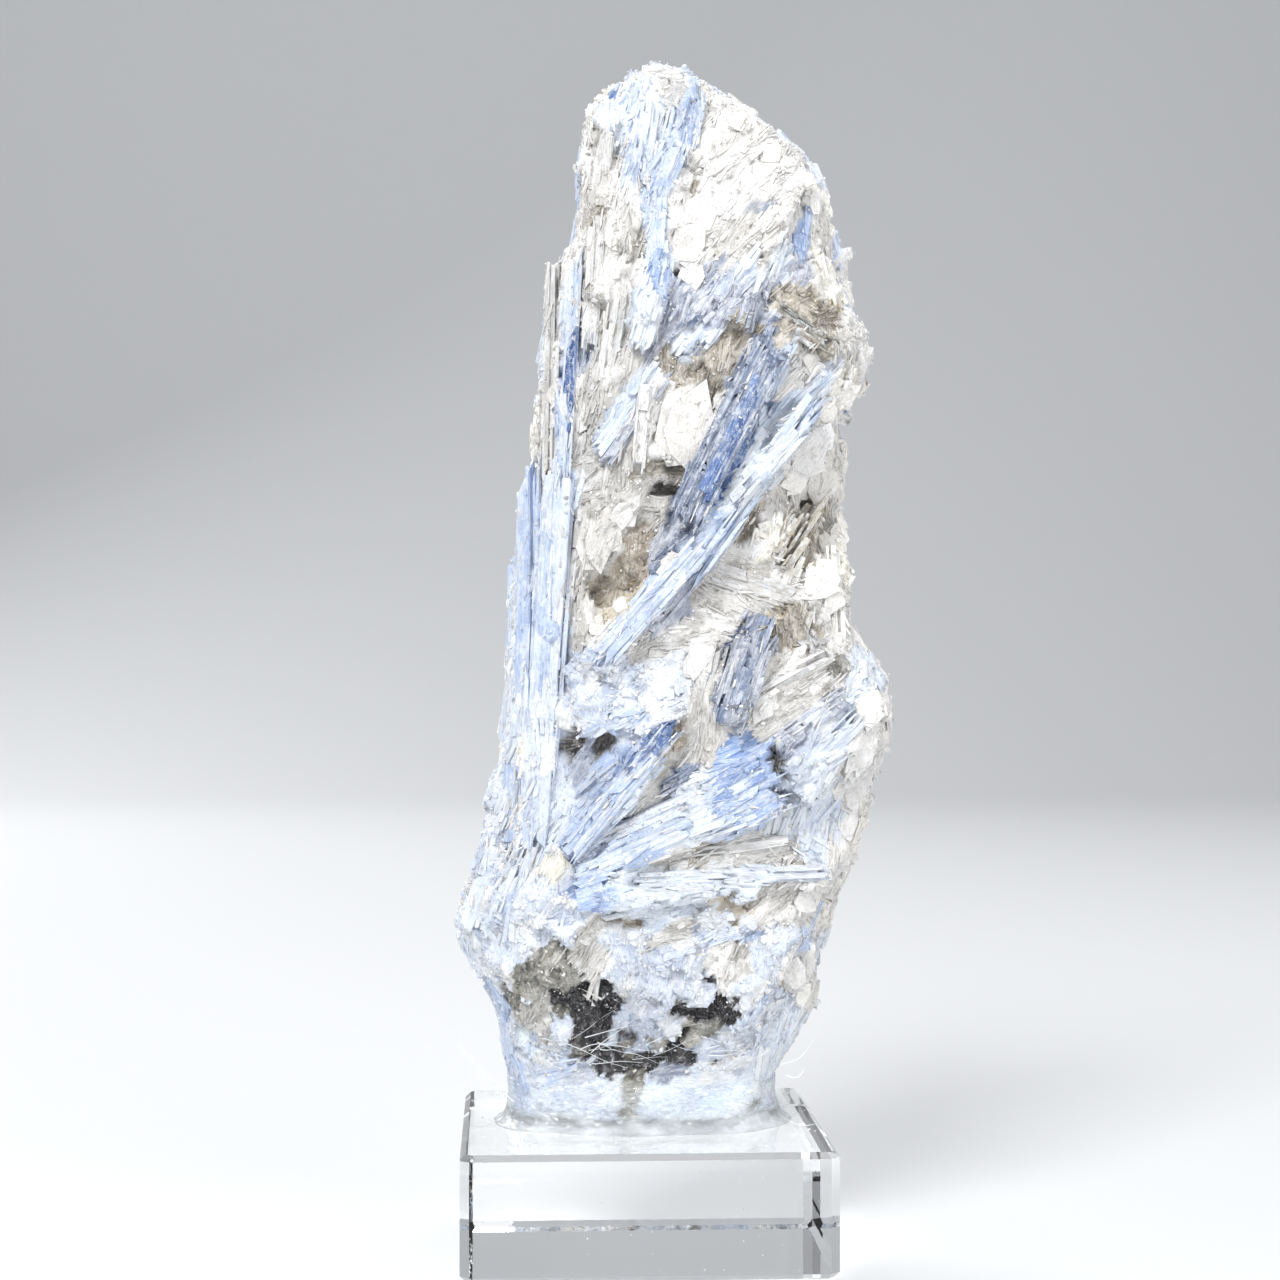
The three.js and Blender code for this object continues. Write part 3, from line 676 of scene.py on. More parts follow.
patch_rows = []
for mineral, rows in FRONT_PATCHES.items():
    for across, up, half_length, half_width, lean in rows:
        place = on_layout(across, up)
        start = Vector((place.x, stone_low.y - 0.01, place.z))
        hit = bare_tree.ray_cast(start, Vector((0, 1, 0)))[0] or place
        nearest = point_tree.find(hit)[1]
        lean = math.radians(lean)
        direction = np.array([math.cos(lean), 0, math.sin(lean)])
        facing = unit(normals[nearest] + (0, -1.0, 0))
        patch_rows.append((points[nearest], facing, direction,
                           half_length * MM, half_width * MM, NAMES.index(mineral)))
candidates = np.flatnonzero(normals[:, 1] > 0.05)
for nearest in luck.choice(candidates, SIDE_PATCHES, replace=False):
    height = (points[nearest, 2] - stone_low.z) / stone_size.z
    by_right_edge = points[nearest, 0] > 0 and normals[nearest, 1] < 0.45
    if height > TOP_FOOT or by_right_edge:
        mix = PALE_MIX
    elif height < FOOT_TOP:
        mix = FOOT_MIX
    else:
        mix = SIDE_MIX
    shares = np.array(list(mix.values()), float)
    mineral = luck.choice(list(mix), p=shares / shares.sum())
    lean = luck.normal(0, LEAN_SPREAD)
    lean += (luck.random() < 0.25) * luck.choice([-CROSSWAYS, CROSSWAYS])
    sideways = np.cross(normals[nearest], [0, 0, 1])
    direction = np.array([0, 0, math.cos(lean)]) + unit(sideways) * math.sin(lean)
    size = MM * (HOLLOW_SIZE if mineral == "hollow" else 1)
    patch_rows.append((points[nearest], normals[nearest], direction,
                       luck.uniform(*SIDE_HALF_LENGTHS) * size,
                       luck.uniform(*SIDE_HALF_WIDTHS) * size, NAMES.index(mineral)))
patch_place, patch_normal, patch_direction = (
    np.array([row[column] for row in patch_rows]) for column in range(3))
patch_reach = np.array([row[3:5] for row in patch_rows])
patch_mineral = np.array([row[5] for row in patch_rows])
print(len(patch_rows), "patches in all")


# %% Give each point of the body its patch
BATCH = 4096  # points handled at once, to spare memory
DEPTH_SHARE = np.array([1, 0.6, 1])  # a step into the stone counts less than one across it
TURN_COST = 1.6  # what a patch that faces another way costs


def nearest_patch(places, facing):
    """The index of the patch that each place belongs to."""
    chosen = np.empty(len(places), int)
    for start in range(0, len(places), BATCH):
        part = slice(start, start + BATCH)
        offset = places[part, None, :] - patch_place[None]
        along = np.einsum("ijk,jk->ij", offset, patch_direction)
        off_axis = offset - along[..., None] * patch_direction[None]
        aside = np.linalg.norm(off_axis * DEPTH_SHARE, axis=2)
        cost = np.hypot(along / patch_reach[:, 0], aside / patch_reach[:, 1])
        cost += TURN_COST * (1 - facing[part] @ patch_normal.T)
        chosen[part] = np.argmin(cost, axis=1)
    return chosen


def wobble(places, size, amount):
    """Small smooth shifts that make straight borders ragged."""
    shifts = [noise.noise_vector(Vector(place) / size) for place in places]
    return places + np.array(shifts) * amount


ragged = wobble(wobble(points, 1.6 * MM, 0.7 * MM), 0.55 * MM, 0.35 * MM)
point_patch = nearest_patch(ragged, normals)
point_mineral = patch_mineral[point_patch]
print("points in hollows:", int(np.sum(point_mineral == NAMES.index("hollow"))))

# %% [markdown]
# ### Cells: one facet of the crag for each crystal
#
# The body is cut into several thousand cells, long and narrow where blades grow and rounder where
# flakes do. A cell tips its part of the surface into one flat facet and has its own shade, as
# each crystal has in the rock.

# %% Scatter the cells
CELL_COUNT = 5200
CELL_STRETCH = {"lath": 6.0, "fibre": 5.0, "sheet": 1.7, "grain": 1.3, "crumb": 1.2}
CELL_STEP = {"lath": 0.34, "fibre": 0.26, "sheet": 0.50, "grain": 0.42, "crumb": 0.40}  # mm
CELL_TURN = 0.13  # radians, as the two below
CELL_ROLL = 0.22
CELL_PITCH = 0.10

cell_points = luck.choice(point_count, CELL_COUNT, replace=False)
cell_place = points[cell_points]
cell_normal = normals[cell_points]
cell_patch = point_patch[cell_points]
cell_mineral = patch_mineral[cell_patch]
cell_habit = [MINERALS[NAMES[m]][2] for m in cell_mineral]
cell_stretch = np.array([CELL_STRETCH[habit] for habit in cell_habit])
cell_step = np.array([CELL_STEP[habit] for habit in cell_habit]) * MM
cell_along = tangent(patch_direction[cell_patch], cell_normal)
cell_across = np.cross(cell_along, cell_normal)
turn = luck.normal(0, CELL_TURN, (CELL_COUNT, 1))
cell_along, cell_across = (cell_along * np.cos(turn) + cell_across * np.sin(turn),
                           cell_across * np.cos(turn) - cell_along * np.sin(turn))
cell_lift = luck.uniform(-1, 1, CELL_COUNT) * cell_step
cell_roll = luck.normal(0, CELL_ROLL, CELL_COUNT)
cell_pitch = luck.normal(0, CELL_PITCH, CELL_COUNT) / np.sqrt(cell_stretch / 1.5)


def shade_of(mineral):
    """A colour between two of the mineral's own, a little lighter or darker."""
    shades = MINERALS[NAMES[mineral]][0]
    first, second = luck.choice(len(shades), 2)
    mixed = np.array(shades[first]) * 0.6 + np.array(shades[second]) * 0.4
    mixed = np.clip(mixed * luck.normal(1, 0.045), 0, 255)
    return np.array(colour(*mixed))


cell_shade = np.array([shade_of(mineral) for mineral in cell_mineral])
cell_tree = KDTree(CELL_COUNT)
for index, place in enumerate(cell_place):
    cell_tree.insert(place, index)
cell_tree.balance()
print(CELL_COUNT, "cells")

# %% Give each point its cell
NEIGHBOURS = 14
OTHER_MINERAL = 2.5 * MM  # how much further off a cell of another mineral seems

near = np.array([[found[1] for found in cell_tree.find_n(place, NEIGHBOURS)]
                 for place in ragged])
offset = ragged[:, None, :] - cell_place[near]
along = np.einsum("ijk,ijk->ij", offset, cell_along[near])
across = np.einsum("ijk,ijk->ij", offset, cell_across[near])
away = np.einsum("ijk,ijk->ij", offset, cell_normal[near])
stretch = cell_stretch[near]
reach = np.sqrt((along / stretch) ** 2 * 2 + across**2 + away**2 * 0.3)
reach += (patch_mineral[cell_patch[near]] != point_mineral[:, None]) * OTHER_MINERAL
best = np.argmin(reach, axis=1)
every_point = np.arange(point_count)
point_cell = near[every_point, best]
print("cells in use:", len(np.unique(point_cell)))

# %% Move the points
GLUE_LINE = glue_high.z + 1 * MM
CRAG_SIZE = 5 * MM
CRAG_HEIGHT = 0.75 * MM
RIDGE_HEIGHT = 0.16 * MM
FACET_MOST = 1.1 * MM
BOX_MARGIN = 0.35 * MM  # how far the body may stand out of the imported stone's box
SIDE_SETBACK = 0.3 * MM  # room at the left and right edges for the crystals that stand on them

depth = spread(DEPTHS[point_mineral] * MM, 2)[:, 0]
facet = (cell_lift[point_cell]
         + np.tan(cell_roll[point_cell]) * across[every_point, best]
         + np.tan(cell_pitch[point_cell]) * along[every_point, best])
facet = np.clip(facet, -FACET_MOST, FACET_MOST)
crags = np.array([noise.noise(Vector(place) / CRAG_SIZE) for place in points]) * CRAG_HEIGHT
grain_across = np.einsum("ij,ij->i", points, cell_across[point_cell]) / MM
grain_along = np.einsum("ij,ij->i", points, cell_along[point_cell]) / MM
ridges = np.array([
    noise.noise(Vector((aside * 1.5, ahead * 0.3, cell * 3.7)))
    for aside, ahead, cell in zip(grain_across, grain_along, point_cell)]) * RIDGE_HEIGHT
sideways_facing = 1 - np.abs(normals[:, 1])
height = depth + facet + crags + ridges - SIDE_SETBACK * sideways_facing
bedded = np.clip((points[:, 2] - GLUE_LINE) / (3 * MM), 0, 1)
height = np.where(height > 0, height * bedded, height * (0.3 + 0.7 * bedded))
moved = points + normals * height[:, None]
moved = np.clip(moved, np.array(stone_low) - BOX_MARGIN, np.array(stone_high) + BOX_MARGIN)
moved[:, 2] = np.maximum(moved[:, 2], stone_low.z)
body_mesh.vertices.foreach_set("co", moved.ravel())
body_mesh.update()
low, usual, high = np.percentile(height, [2, 50, 98]) / MM
print(f"moved by {low:.2f} to {high:.2f} mm, usually {usual:.2f} mm")

# %% Write each point's shade and each corner's grain
corner_points = read(body_mesh.loops, "vertex_index", 1, np.int32)
face_starts = read(body_mesh.polygons, "loop_start", 1, np.int32)
face_sizes = read(body_mesh.polygons, "loop_total", 1, np.int32)
corner_cell = np.repeat(point_cell[corner_points[face_starts]], face_sizes)
corner_places = points[corner_points] / MM
grain = np.stack([
    np.einsum("ij,ij->i", corner_places, cell_across[corner_cell]) + corner_cell * 3.7,
    np.einsum("ij,ij->i", corner_places, cell_along[corner_cell]) + corner_cell * 1.3,
    np.einsum("ij,ij->i", corner_places, cell_normal[corner_cell]),
], axis=1)
body_mesh.attributes.new("grain", "FLOAT_VECTOR", "CORNER").data.foreach_set(
    "vector", grain.ravel())
# In the sunk patches this tint is painted shade of the recess.
body_mesh.attributes.new("tint", "FLOAT_COLOR", "POINT").data.foreach_set(
    "color", cell_shade[point_cell].ravel())
body_tree = BVHTree.FromPolygons(
    moved.tolist(), [tuple(face.vertices) for face in body_mesh.polygons])
print("body has its attributes")

# %% [markdown]
# ## Finishes of the stone
#
# Every crystal carries two things that its material reads: `tint`, its own shade, and `grain`,
# a place in millimetres across, along and through the crystal. Noise that is squeezed across the
# grain and stretched along it gives the hair-fine lines of a kyanite blade, whichever way the
# blade lies.

# %% Crystal finish
def crystal_finish(name, lines_across, lines_along, streak, dark, frost, rough, coat=0.0,
                   rime=0.0):
    """A finish with fine lines along the grain, white frosting and a roughness that varies.

    The first two numbers are lines to the millimetre; the rest are shares from 0 to 1."""
    finish = Finish(name)
    tint = finish.attribute("tint", 0)
    grain = finish.attribute("grain")
    place = finish.place()
    lines = finish.noise(grain * (lines_across, lines_along, lines_across), 1, 3, 0.62)
    hairs = finish.noise(grain * (lines_across * 3.1, lines_along * 2.5, lines_across * 3),
                         1, 2, 0.6)
    specks = finish.noise(place, 2300, 3, 0.7)  # about 0.4 mm
    clouds = finish.noise(place, 420, 2, 0.5)  # a few millimetres
    bloom = finish.noise(place, 650, 4, 0.68)
    paler = finish.node("Gamma", Color=tint, Gamma=0.5)
    palest = finish.node("Gamma", Color=tint, Gamma=0.28)
    bloomed = finish.mix(finish.step(bloom, 0.50, 0.66) * 0.75, tint, paler)
    pale = finish.mix(finish.step(lines, 0.48, 0.64) * streak, bloomed, palest)
    lined = finish.mix(finish.step(hairs, 0.56, 0.74) * dark, pale, tint * 0.42)
    frosted = finish.mix(finish.step(specks, 0.56, 0.68) * frost, lined, (0.95, 0.96, 0.97, 1))
    if rime:
        crust = finish.noise(grain * (1.3, 0.45, 1.3), 1, 5, 0.74)
        frosted = finish.mix(finish.step(crust, 0.50, 0.60) * rime, frosted, (0.86, 0.89, 0.93, 1))
    shaded = finish.mix(finish.step(clouds, 0.42, 0.66) * 0.30, frosted, frosted * 0.62)
    ripple = lines * 0.6 + hairs * 0.4 + specks * 0.5
    shader = finish.node(
        "BsdfPrincipled",
        Base_Color=shaded,
        Roughness=specks * 0.35 + (rough - 0.17),
        Coat_Weight=coat,
        Coat_Roughness=0.25,
        Subsurface_Weight=0.12,
        Subsurface_Radius=(0.8, 0.9, 1.0),
        Subsurface_Scale=0.4 * MM,
        Normal=finish.bump(ripple, 0.00030, 0.9),
    )
    return finish.surface(shader)


kyanite = crystal_finish("kyanite", 3.4, 0.22, 0.60, 0.55, 0.40, 0.38, coat=0.15, rime=0.6)
mica = crystal_finish("mica", 1.6, 0.8, 0.40, 0.45, 0.35, 0.34, coat=0.25)
fibres = crystal_finish("silvery_fibres", 4.2, 0.30, 0.55, 0.75, 0.30, 0.42)
# Its crumbs are black mica and, in the sunk patches, crumbs whose dark colour is painted shade.
crumbs = crystal_finish("dark_mica_and_shade_painted_crumbs", 1.6, 1.2, 0.10, 0.60, 0.10, 0.38, coat=0.2)
schist = crystal_finish("schist_body", 3.2, 0.35, 0.50, 0.80, 0.50, 0.55)
print("stone finishes made")

# %% [markdown]
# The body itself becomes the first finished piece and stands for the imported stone.

# %% The body as a piece
body = mesh_as_object("schist_body", body_mesh, [schist], smooth=True)
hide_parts("kyanite_specimen")
finish_piece(body)

# %% [markdown]
# ## Crystals to stamp
#
# Thousands of crystals can't be shaped one by one, so a few of each habit are shaped with the
# mesh tools and then stamped at many sizes. Each has only a few dozen faces. A lath is a long box
# with its top edges bevelled and its ends broken; a flake is an uneven plate; a book is a pile of
# flakes; a crumb is a dented ball.

# %% Laths
dice = random.Random(17)
LATH_BEVEL = 0.09  # of a lath's width, as the two below
CHIP = 0.09  # how unevenly its ends break
SWAY = 0.07  # how far it wanders from straight


def as_stamp(bm, name):
    """Turns a bmesh into a stamp and keeps its points' places for the grain."""
    bmesh.ops.recalc_face_normals(bm, faces=bm.faces)
    mesh = bpy.data.meshes.new(name)
    bm.to_mesh(mesh)
    bm.free()
    mesh.attributes.new("grain", "FLOAT_VECTOR", "POINT")
    mesh.attributes.new("tint", "FLOAT_COLOR", "POINT")
    return mesh, read(mesh.vertices, "co", 3)


def lath_stamp(number, cuts):
    """A box one long, one wide and one thick, with its length along Y and its top bevelled."""
    bm = bmesh.new()
    bmesh.ops.create_cube(bm, size=1)
    for cut in range(cuts):
        middle = (cut + 1) / (cuts + 1) - 0.5
        bmesh.ops.bisect_plane(bm, geom=bm.verts[:] + bm.edges[:] + bm.faces[:],
                               plane_co=(0, middle, 0), plane_no=(0, 1, 0))
    top_edges = [e for e in bm.edges
                 if all(v.co.z > 0.4 and abs(v.co.x) > 0.4 for v in e.verts)
                 and abs(e.verts[0].co.y - e.verts[1].co.y) > 0.01]
    bmesh.ops.bevel(bm, geom=top_edges, offset=LATH_BEVEL, segments=1, profile=0.5,
                    affect="EDGES", material=-1)
    chip = [dice.uniform(-CHIP, CHIP) for _ in range(4)]
    sway = [dice.uniform(-SWAY, SWAY) for _ in range(cuts + 2)]
    for vert in bm.verts:
        ring = round((vert.co.y + 0.5) * (cuts + 1))
        end = 1 if vert.co.y > 0 else -1
        if ring in (0, cuts + 1):
            side = chip[0 if end > 0 else 1] * vert.co.x * 2
            vert.co.y += side + chip[2 if end > 0 else 3] * vert.co.z
            vert.co.x *= dice.uniform(0.72, 0.95)
        vert.co.x += sway[ring] * 0.5
        vert.co.z += sway[-1 - ring] * 0.6
    return as_stamp(bm, f"lath_{number}")


# %% Plates: flakes and books
BOOK_SHEETS = 4


def plate(bm, corners, radius, low, thickness, turn, shift):
    """Adds one uneven plate to a bmesh."""
    made = bmesh.ops.create_circle(bm, cap_ends=True, segments=corners, radius=radius)["verts"]
    for vert in made:
        vert.co.xy *= dice.uniform(0.62, 1.12)
    face = made[0].link_faces[0]
    raised = bmesh.ops.extrude_face_region(bm, geom=[face], use_keep_orig=True)["geom"]
    top = [e for e in raised if isinstance(e, bmesh.types.BMVert)]
    bmesh.ops.translate(bm, verts=top, vec=(0, 0, thickness))
    place = Matrix.Translation((*shift, low)) @ Matrix.Rotation(turn, 4, "Z")
    bmesh.ops.transform(bm, matrix=place, verts=made + top)


def flake_stamp(number):
    """One uneven plate with a slightly smaller top."""
    bm = bmesh.new()
    plate(bm, dice.choice((5, 6, 7)), 0.55, -0.5, 1.0, 0, (0, 0))
    for vert in bm.verts:
        if vert.co.z > 0:
            vert.co.xy *= dice.uniform(0.86, 0.97)
    return as_stamp(bm, f"flake_{number}")


def book_stamp(number):
    """A pile of plates, as mica grows."""
    bm = bmesh.new()
    for sheet in range(BOOK_SHEETS):
        shift = (dice.uniform(-0.09, 0.09), dice.uniform(-0.09, 0.09))
        plate(bm, 6, dice.uniform(0.38, 0.5), sheet / BOOK_SHEETS - 0.5, 0.8 / BOOK_SHEETS,
              dice.uniform(0, 1), shift)
    return as_stamp(bm, f"book_{number}")


# %% Splinters, crumbs and grit
def splinter_stamp(number):
    """A needle with five sides that thins toward one end."""
    bm = bmesh.new()
    bmesh.ops.create_cone(bm, cap_ends=True, segments=5, radius1=0.5, radius2=0.12, depth=1)
    bmesh.ops.rotate(bm, verts=bm.verts, matrix=Matrix.Rotation(-math.pi / 2, 3, "X"))
    for vert in bm.verts:
        vert.co.y += dice.uniform(-0.06, 0.06)
        vert.co.x += dice.uniform(-0.08, 0.08)
    return as_stamp(bm, f"splinter_{number}")


def crumb_stamp(number):
    """A dented ball."""
    bm = bmesh.new()
    bmesh.ops.create_icosphere(bm, subdivisions=1, radius=0.5)
    for vert in bm.verts:
        vert.co *= dice.uniform(0.7, 1.12)
    return as_stamp(bm, f"crumb_{number}")


def grit_stamp(number):
    """A dented cube, the plainest shape, for the smallest pieces."""
    bm = bmesh.new()
    bmesh.ops.create_cube(bm, size=0.8)
    for vert in bm.verts:
        vert.co *= dice.uniform(0.6, 1.15)
    return as_stamp(bm, f"grit_{number}")


# %% Shape the stamps
STAMPS = {
    "lath": [lath_stamp(n, 1) for n in range(8)],
    "long_lath": [lath_stamp(n + 8, 4) for n in range(8)],
    "flake": [flake_stamp(n) for n in range(8)],
    "book": [book_stamp(n) for n in range(5)],
    "splinter": [splinter_stamp(n) for n in range(5)],
    "crumb": [crumb_stamp(n) for n in range(6)],
    "grit": [grit_stamp(n) for n in range(6)],
}
for kind, shapes in STAMPS.items():
    print(kind, [len(mesh.polygons) for mesh, _ in shapes])


# %% Stamp one crystal
def frame_at(place, normal, along, roll=0.0, pitch=0.0):
    """A matrix whose Y runs along the crystal and whose Z looks out of the stone."""
    z = Vector(normal).normalized()
    y = Vector(along)
    y = (y - z * y.dot(z)).normalized()
    basis = Matrix((y.cross(z), y, z)).transposed().to_4x4()
    return (Matrix.Translation(place) @ basis
            @ Matrix.Rotation(pitch, 4, "X") @ Matrix.Rotation(roll, 4, "Y"))


def stamp(bm, kind, place, size, shade):
    """Adds one crystal to a bmesh. Its size is its width, length and thickness."""
    shape, unit_places = STAMPS[kind][dice.randrange(len(STAMPS[kind]))]
    mesh = shape.copy()
    shift = np.array([dice.uniform(0, 90), dice.uniform(0, 90), dice.uniform(0, 90)])
    grain = unit_places * (np.array(size) / MM) + shift
    mesh.attributes["grain"].data.foreach_set("vector", grain.ravel())
    mesh.attributes["tint"].data.foreach_set("color", np.tile(shade, len(unit_places)))
    mesh.transform(place @ Matrix.Diagonal((*size, 1)))
    bm.from_mesh(mesh)
    bpy.data.meshes.remove(mesh)


# %% [markdown]
# ## The large blades
#
# A kyanite blade is a bundle: it splits along its length into laths that lie side by side, break
# at different lengths and step up or down from one another. So each large blade is built as a
# bundle of laths, laid on a straight line that is fitted to the rock under it.

# %% Lay one large blade
SPLAY = 0.08 * MM  # how far the end of a long lath may swing out of its bundle
SIGHT = 0.1  # metres: far enough back to start a line outside the stone
STATIONS = 9  # places along a blade where the body's depth is found
WHOLE_LATH = 6 * MM  # a shorter lath isn't broken across
LATH_OVERLAP = 0.22  # mm that a lath is wider than its share of the blade
BLADE_SHADE = 0.45  # share of a lath's colour that the whole blade has in common
FRONT = Vector((0, 1, 0))  # the way a line of sight runs into the front


def surface_at(place, inward):
    """Where a line that runs through a place and into the stone meets the body, or None."""
    return body_tree.ray_cast(place - inward * SIGHT, inward)[0]


def depths_along(ends, inward):
    """How deep the body lies at places between two ends, as pairs of share and depth."""
    found = []
    for share in np.linspace(0.04, 0.96, STATIONS):
        hit = surface_at(ends[0].lerp(ends[1], share), inward)
        if hit is not None:
            found.append((share, hit.dot(inward)))
    return found


def lay_blade(bm, ends, inward, width, mineral, laths, lift=0.35, thickness=1.3, facing=0.0):
    """Lays a bundle of laths between two places of a plane that faces the stone.

    Width, lift and thickness are in millimetres; facing turns the blade about the upright."""
    depths = depths_along(ends, inward)
    slope, level = np.polyfit(*zip(*depths), 1) if len(depths) > 2 else (0, depths[0][1])
    spare = np.percentile([level + slope * share - depth for share, depth in depths], 70)
    ends = [end + inward * (level + slope * share - spare - lift * MM - end.dot(inward))
            for end, share in zip(ends, (0, 1))]
    along = ends[1] - ends[0]
    length = along.length
    out = -inward
    out.rotate(Matrix.Rotation(facing, 3, "Z"))
    sideways = along.cross(out).normalized()
    index = NAMES.index(mineral)
    blade_shade = shade_of(index)
    splits = sorted([0, 1, *(dice.random() for _ in range(laths - 1))])
    for left, right in zip(splits, splits[1:]):
        aside = ((left + right) / 2 - 0.5) * width * MM
        low = dice.uniform(-0.4, 1.0) * MM / length
        high = 1 + dice.uniform(-1.2, 0.4) * MM / length
        pieces = 1 if length < WHOLE_LATH else dice.choice((1, 2, 3, 4))
        cuts = sorted(dice.uniform(0.12, 0.88) for _ in range(pieces - 1))
        bounds = [low, *[low + (high - low) * cut for cut in cuts], high]
        shade = shade_of(index) * (1 - BLADE_SHADE) + blade_shade * BLADE_SHADE
        rise = dice.uniform(-0.11, 0.09) * MM
        roll = dice.gauss(0, 0.07)
        for start, stop in zip(bounds, bounds[1:]):
            step = dice.uniform(-0.06, 0.06) * MM
            middle = (ends[0].lerp(ends[1], (start + stop) / 2) + sideways * aside
                      + out * (rise + step - thickness * MM / 2))
            yaw = along + sideways * dice.gauss(0, min(0.012 * length, SPLAY))
            place = frame_at(middle, out, yaw, roll=roll, pitch=dice.gauss(0, 0.008))
            lath_width = ((right - left) * width + LATH_OVERLAP) * MM
            size = (lath_width, (stop - start) * length + 0.10 * MM, thickness * MM)
            stamp(bm, "long_lath", place, size, shade * dice.uniform(0.94, 1.06))


# %% [markdown]
# The blades of the front are listed one by one, from foot to tip, on the layout of the patches.

# %% Large blades of the front
LARGE_BLADES = [
    # foot, tip, width in mm, mineral, how many laths, lift in mm, and for a few of them the
    # thickness in mm and the facing in radians
    ((23.1, 101.5), (24.3, 107.7), 2.3, "sky", 8, 0.2),
    ((20.4, 96.6), (22.6, 101.7), 1.8, "sky", 6, 0.15),
    ((19.9, 90.8), (20.4, 96.6), 1.5, "sky", 5, 0.11),
    ((19.9, 85.3), (20.6, 89.2), 1.8, "blue", 6, 0.11),
    ((18.3, 97.6), (19.6, 106.2), 1.8, "ice", 6, 0.13),
    ((17.1, 96.8), (18.1, 102.3), 1.3, "sky", 5, 0.11),
    ((14.2, 96.6), (15.1, 103.8), 1.4, "silver", 6, 0.06),
    ((15.5, 92), (16.5, 99.1), 1.6, "snow", 6, 0.11),
    ((18.3, 80.7), (19.6, 85.3), 2.1, "ice", 6, 0.11),
    ((10.4, 66.8), (11.8, 89.9), 1.1, "sky", 5, 0.2),
    ((10.6, 71.9), (11.5, 82.7), 0.9, "cobalt", 3, 0.31),
    ((13.2, 80.7), (14, 94), 1.6, "silver", 6, 0.15),
    ((14.7, 76.6), (16.1, 86.3), 1.8, "snow", 6, 0.11),
    ((9.2, 67.8), (9.6, 89.4), 1.6, "silver", 6, -0.03),
    ((5.2, 29.5), (7.9, 67.8), 2.7, "sky", 6, 0.04, 1.6, -0.42),
    ((7.3, 29.5), (9.9, 67.2), 2.7, "sky", 6, 0.06, 1.6, -0.14),
    ((7.9, 44), (9.3, 66), 1.2, "sky", 4, 0.10, 1.4, -0.14),
    ((8.9, 36), (11.3, 66.4), 1.4, "sky", 4, 0.05),
    ((6.2, 34), (7.5, 52), 0.9, "sky", 3, 0.10, 1.3, -0.2),
    ((11, 50.4), (12.4, 64), 1.1, "silver", 5, 0.02),
    ((18.1, 67.8), (18.9, 77.4), 1.2, "snow", 4, 0.35),
    ((14, 70), (19.9, 78.4), 1.2, "sky", 4, 0.15),
    ((14.9, 69), (20.9, 77.6), 1.2, "ash", 4, 0.08),
    ((22.6, 62.7), (31.8, 80.7), 3.5, "slate", 11, 0.38),
    ((24.5, 64.8), (30.3, 77.1), 1.4, "cobalt", 5, 0.47),
    ((30.7, 75.5), (33.7, 80.7), 1, "sky", 5, 0.33),
    ((28.1, 76.6), (30.9, 81.7), 1.6, "slate", 6, 0.24),
    ((23.5, 57.1), (36, 74.5), 2.3, "sky", 8, 0.24),
    ((14.2, 48.3), (24.5, 60.1), 2.3, "sky", 8, 0.38),
    ((20.4, 52.9), (28.8, 62.7), 1.4, "ash", 6, 0.12),
    ((28.1, 64.8), (34.8, 71.9), 1.6, "ice", 6, 0.29),
    ((13.4, 47.8), (18.9, 54.2), 1.3, "sky", 4, 0.3),
    ((33.2, 58.6), (37.4, 64.5), 2.3, "fan", 11, 0.15),
    ((31.7, 58.6), (34.8, 63.7), 1.4, "fan", 8, 0.11),
    ((34.8, 54.3), (25, 57.6), 2.6, "silver", 11, 0.15),
    ((28.8, 76), (31.9, 82.6), 1.1, "slate", 4, 0.1),
    ((27.6, 43.4), (31, 52.4), 1.7, "slate", 6, 0.1),
    ((15.2, 33.6), (18.9, 38.2), 1.4, "blue", 5, 0.25),
    ((31.4, 85.4), (37.6, 81.2), 1.5, "olive", 9, 0.12),
    ((32.6, 83.4), (36.4, 80.9), 1, "fan", 6, 0.1),
    ((27.9, 43.8), (29.9, 50.2), 3.7, "ash", 14, -0.03),
    ((25, 43.7), (26.5, 49.4), 1.4, "silver", 6, 0.11),
    ((29.1, 44.2), (37.8, 48.9), 1.6, "snow", 6, 0.2),
    ((32.4, 39.6), (39.4, 44.6), 1.9, "ash", 7, 0.05),
    ((34.8, 36.4), (40.6, 42.2), 1.9, "ice", 6, 0.05),
    ((10.9, 28.6), (20.9, 40.7), 1.9, "sky", 6, 0.2),
    ((16.8, 36.5), (21.2, 41.4), 1.4, "cobalt", 5, 0.42),
    ((11.9, 28), (18.3, 35), 0.7, "sky", 3, 0.28),
    ((26.2, 32.6), (32, 36.2), 5.6, "blue", 7, 0.12),
    ((25.7, 30.9), (32.2, 33.5), 2.3, "sky", 6, 0.24),
    ((20.4, 35), (24.5, 37.3), 1.1, "slate", 5, 0.1),
    ((14.2, 29.3), (25, 34.2), 2.4, "ice", 9, 0.1),
    ((13.2, 27), (23.5, 31.4), 1.6, "sky", 6, 0.29),
    ((23.5, 30.4), (33.7, 34), 1.6, "ice", 6, 0.2),
    ((17.3, 25.8), (37.8, 26.4), 1.4, "ice", 6, 0.38),
    ((20.4, 27.6), (33.7, 29.4), 1.8, "silver", 8, 0.15),
    ((11.6, 24.2), (15.5, 25.4), 2.9, "blue", 3, 0.14),
    ((0.9, 20.6), (4, 28.9), 2.5, "ice", 8, 0.06),
    ((4, 21.7), (7.1, 29.9), 2.5, "ice", 8, 0.11),
    ((32.7, 53.5), (34.8, 58.6), 1.6, "cream", 6, 0.11),
    ((34.8, 50.4), (36, 54), 1.4, "fan", 8, 0.11),
    ((39.4, 50.4), (38.7, 60.1), 1.4, "cream", 6, 0.02),
    ((13.5, 12.4), (14.1, 16.4), 0.35, "silver", 1, 0.45),
    ((12.7, 13.2), (13.7, 15.8), 0.25, "silver", 1, 0.4),
]
bm = bmesh.new()
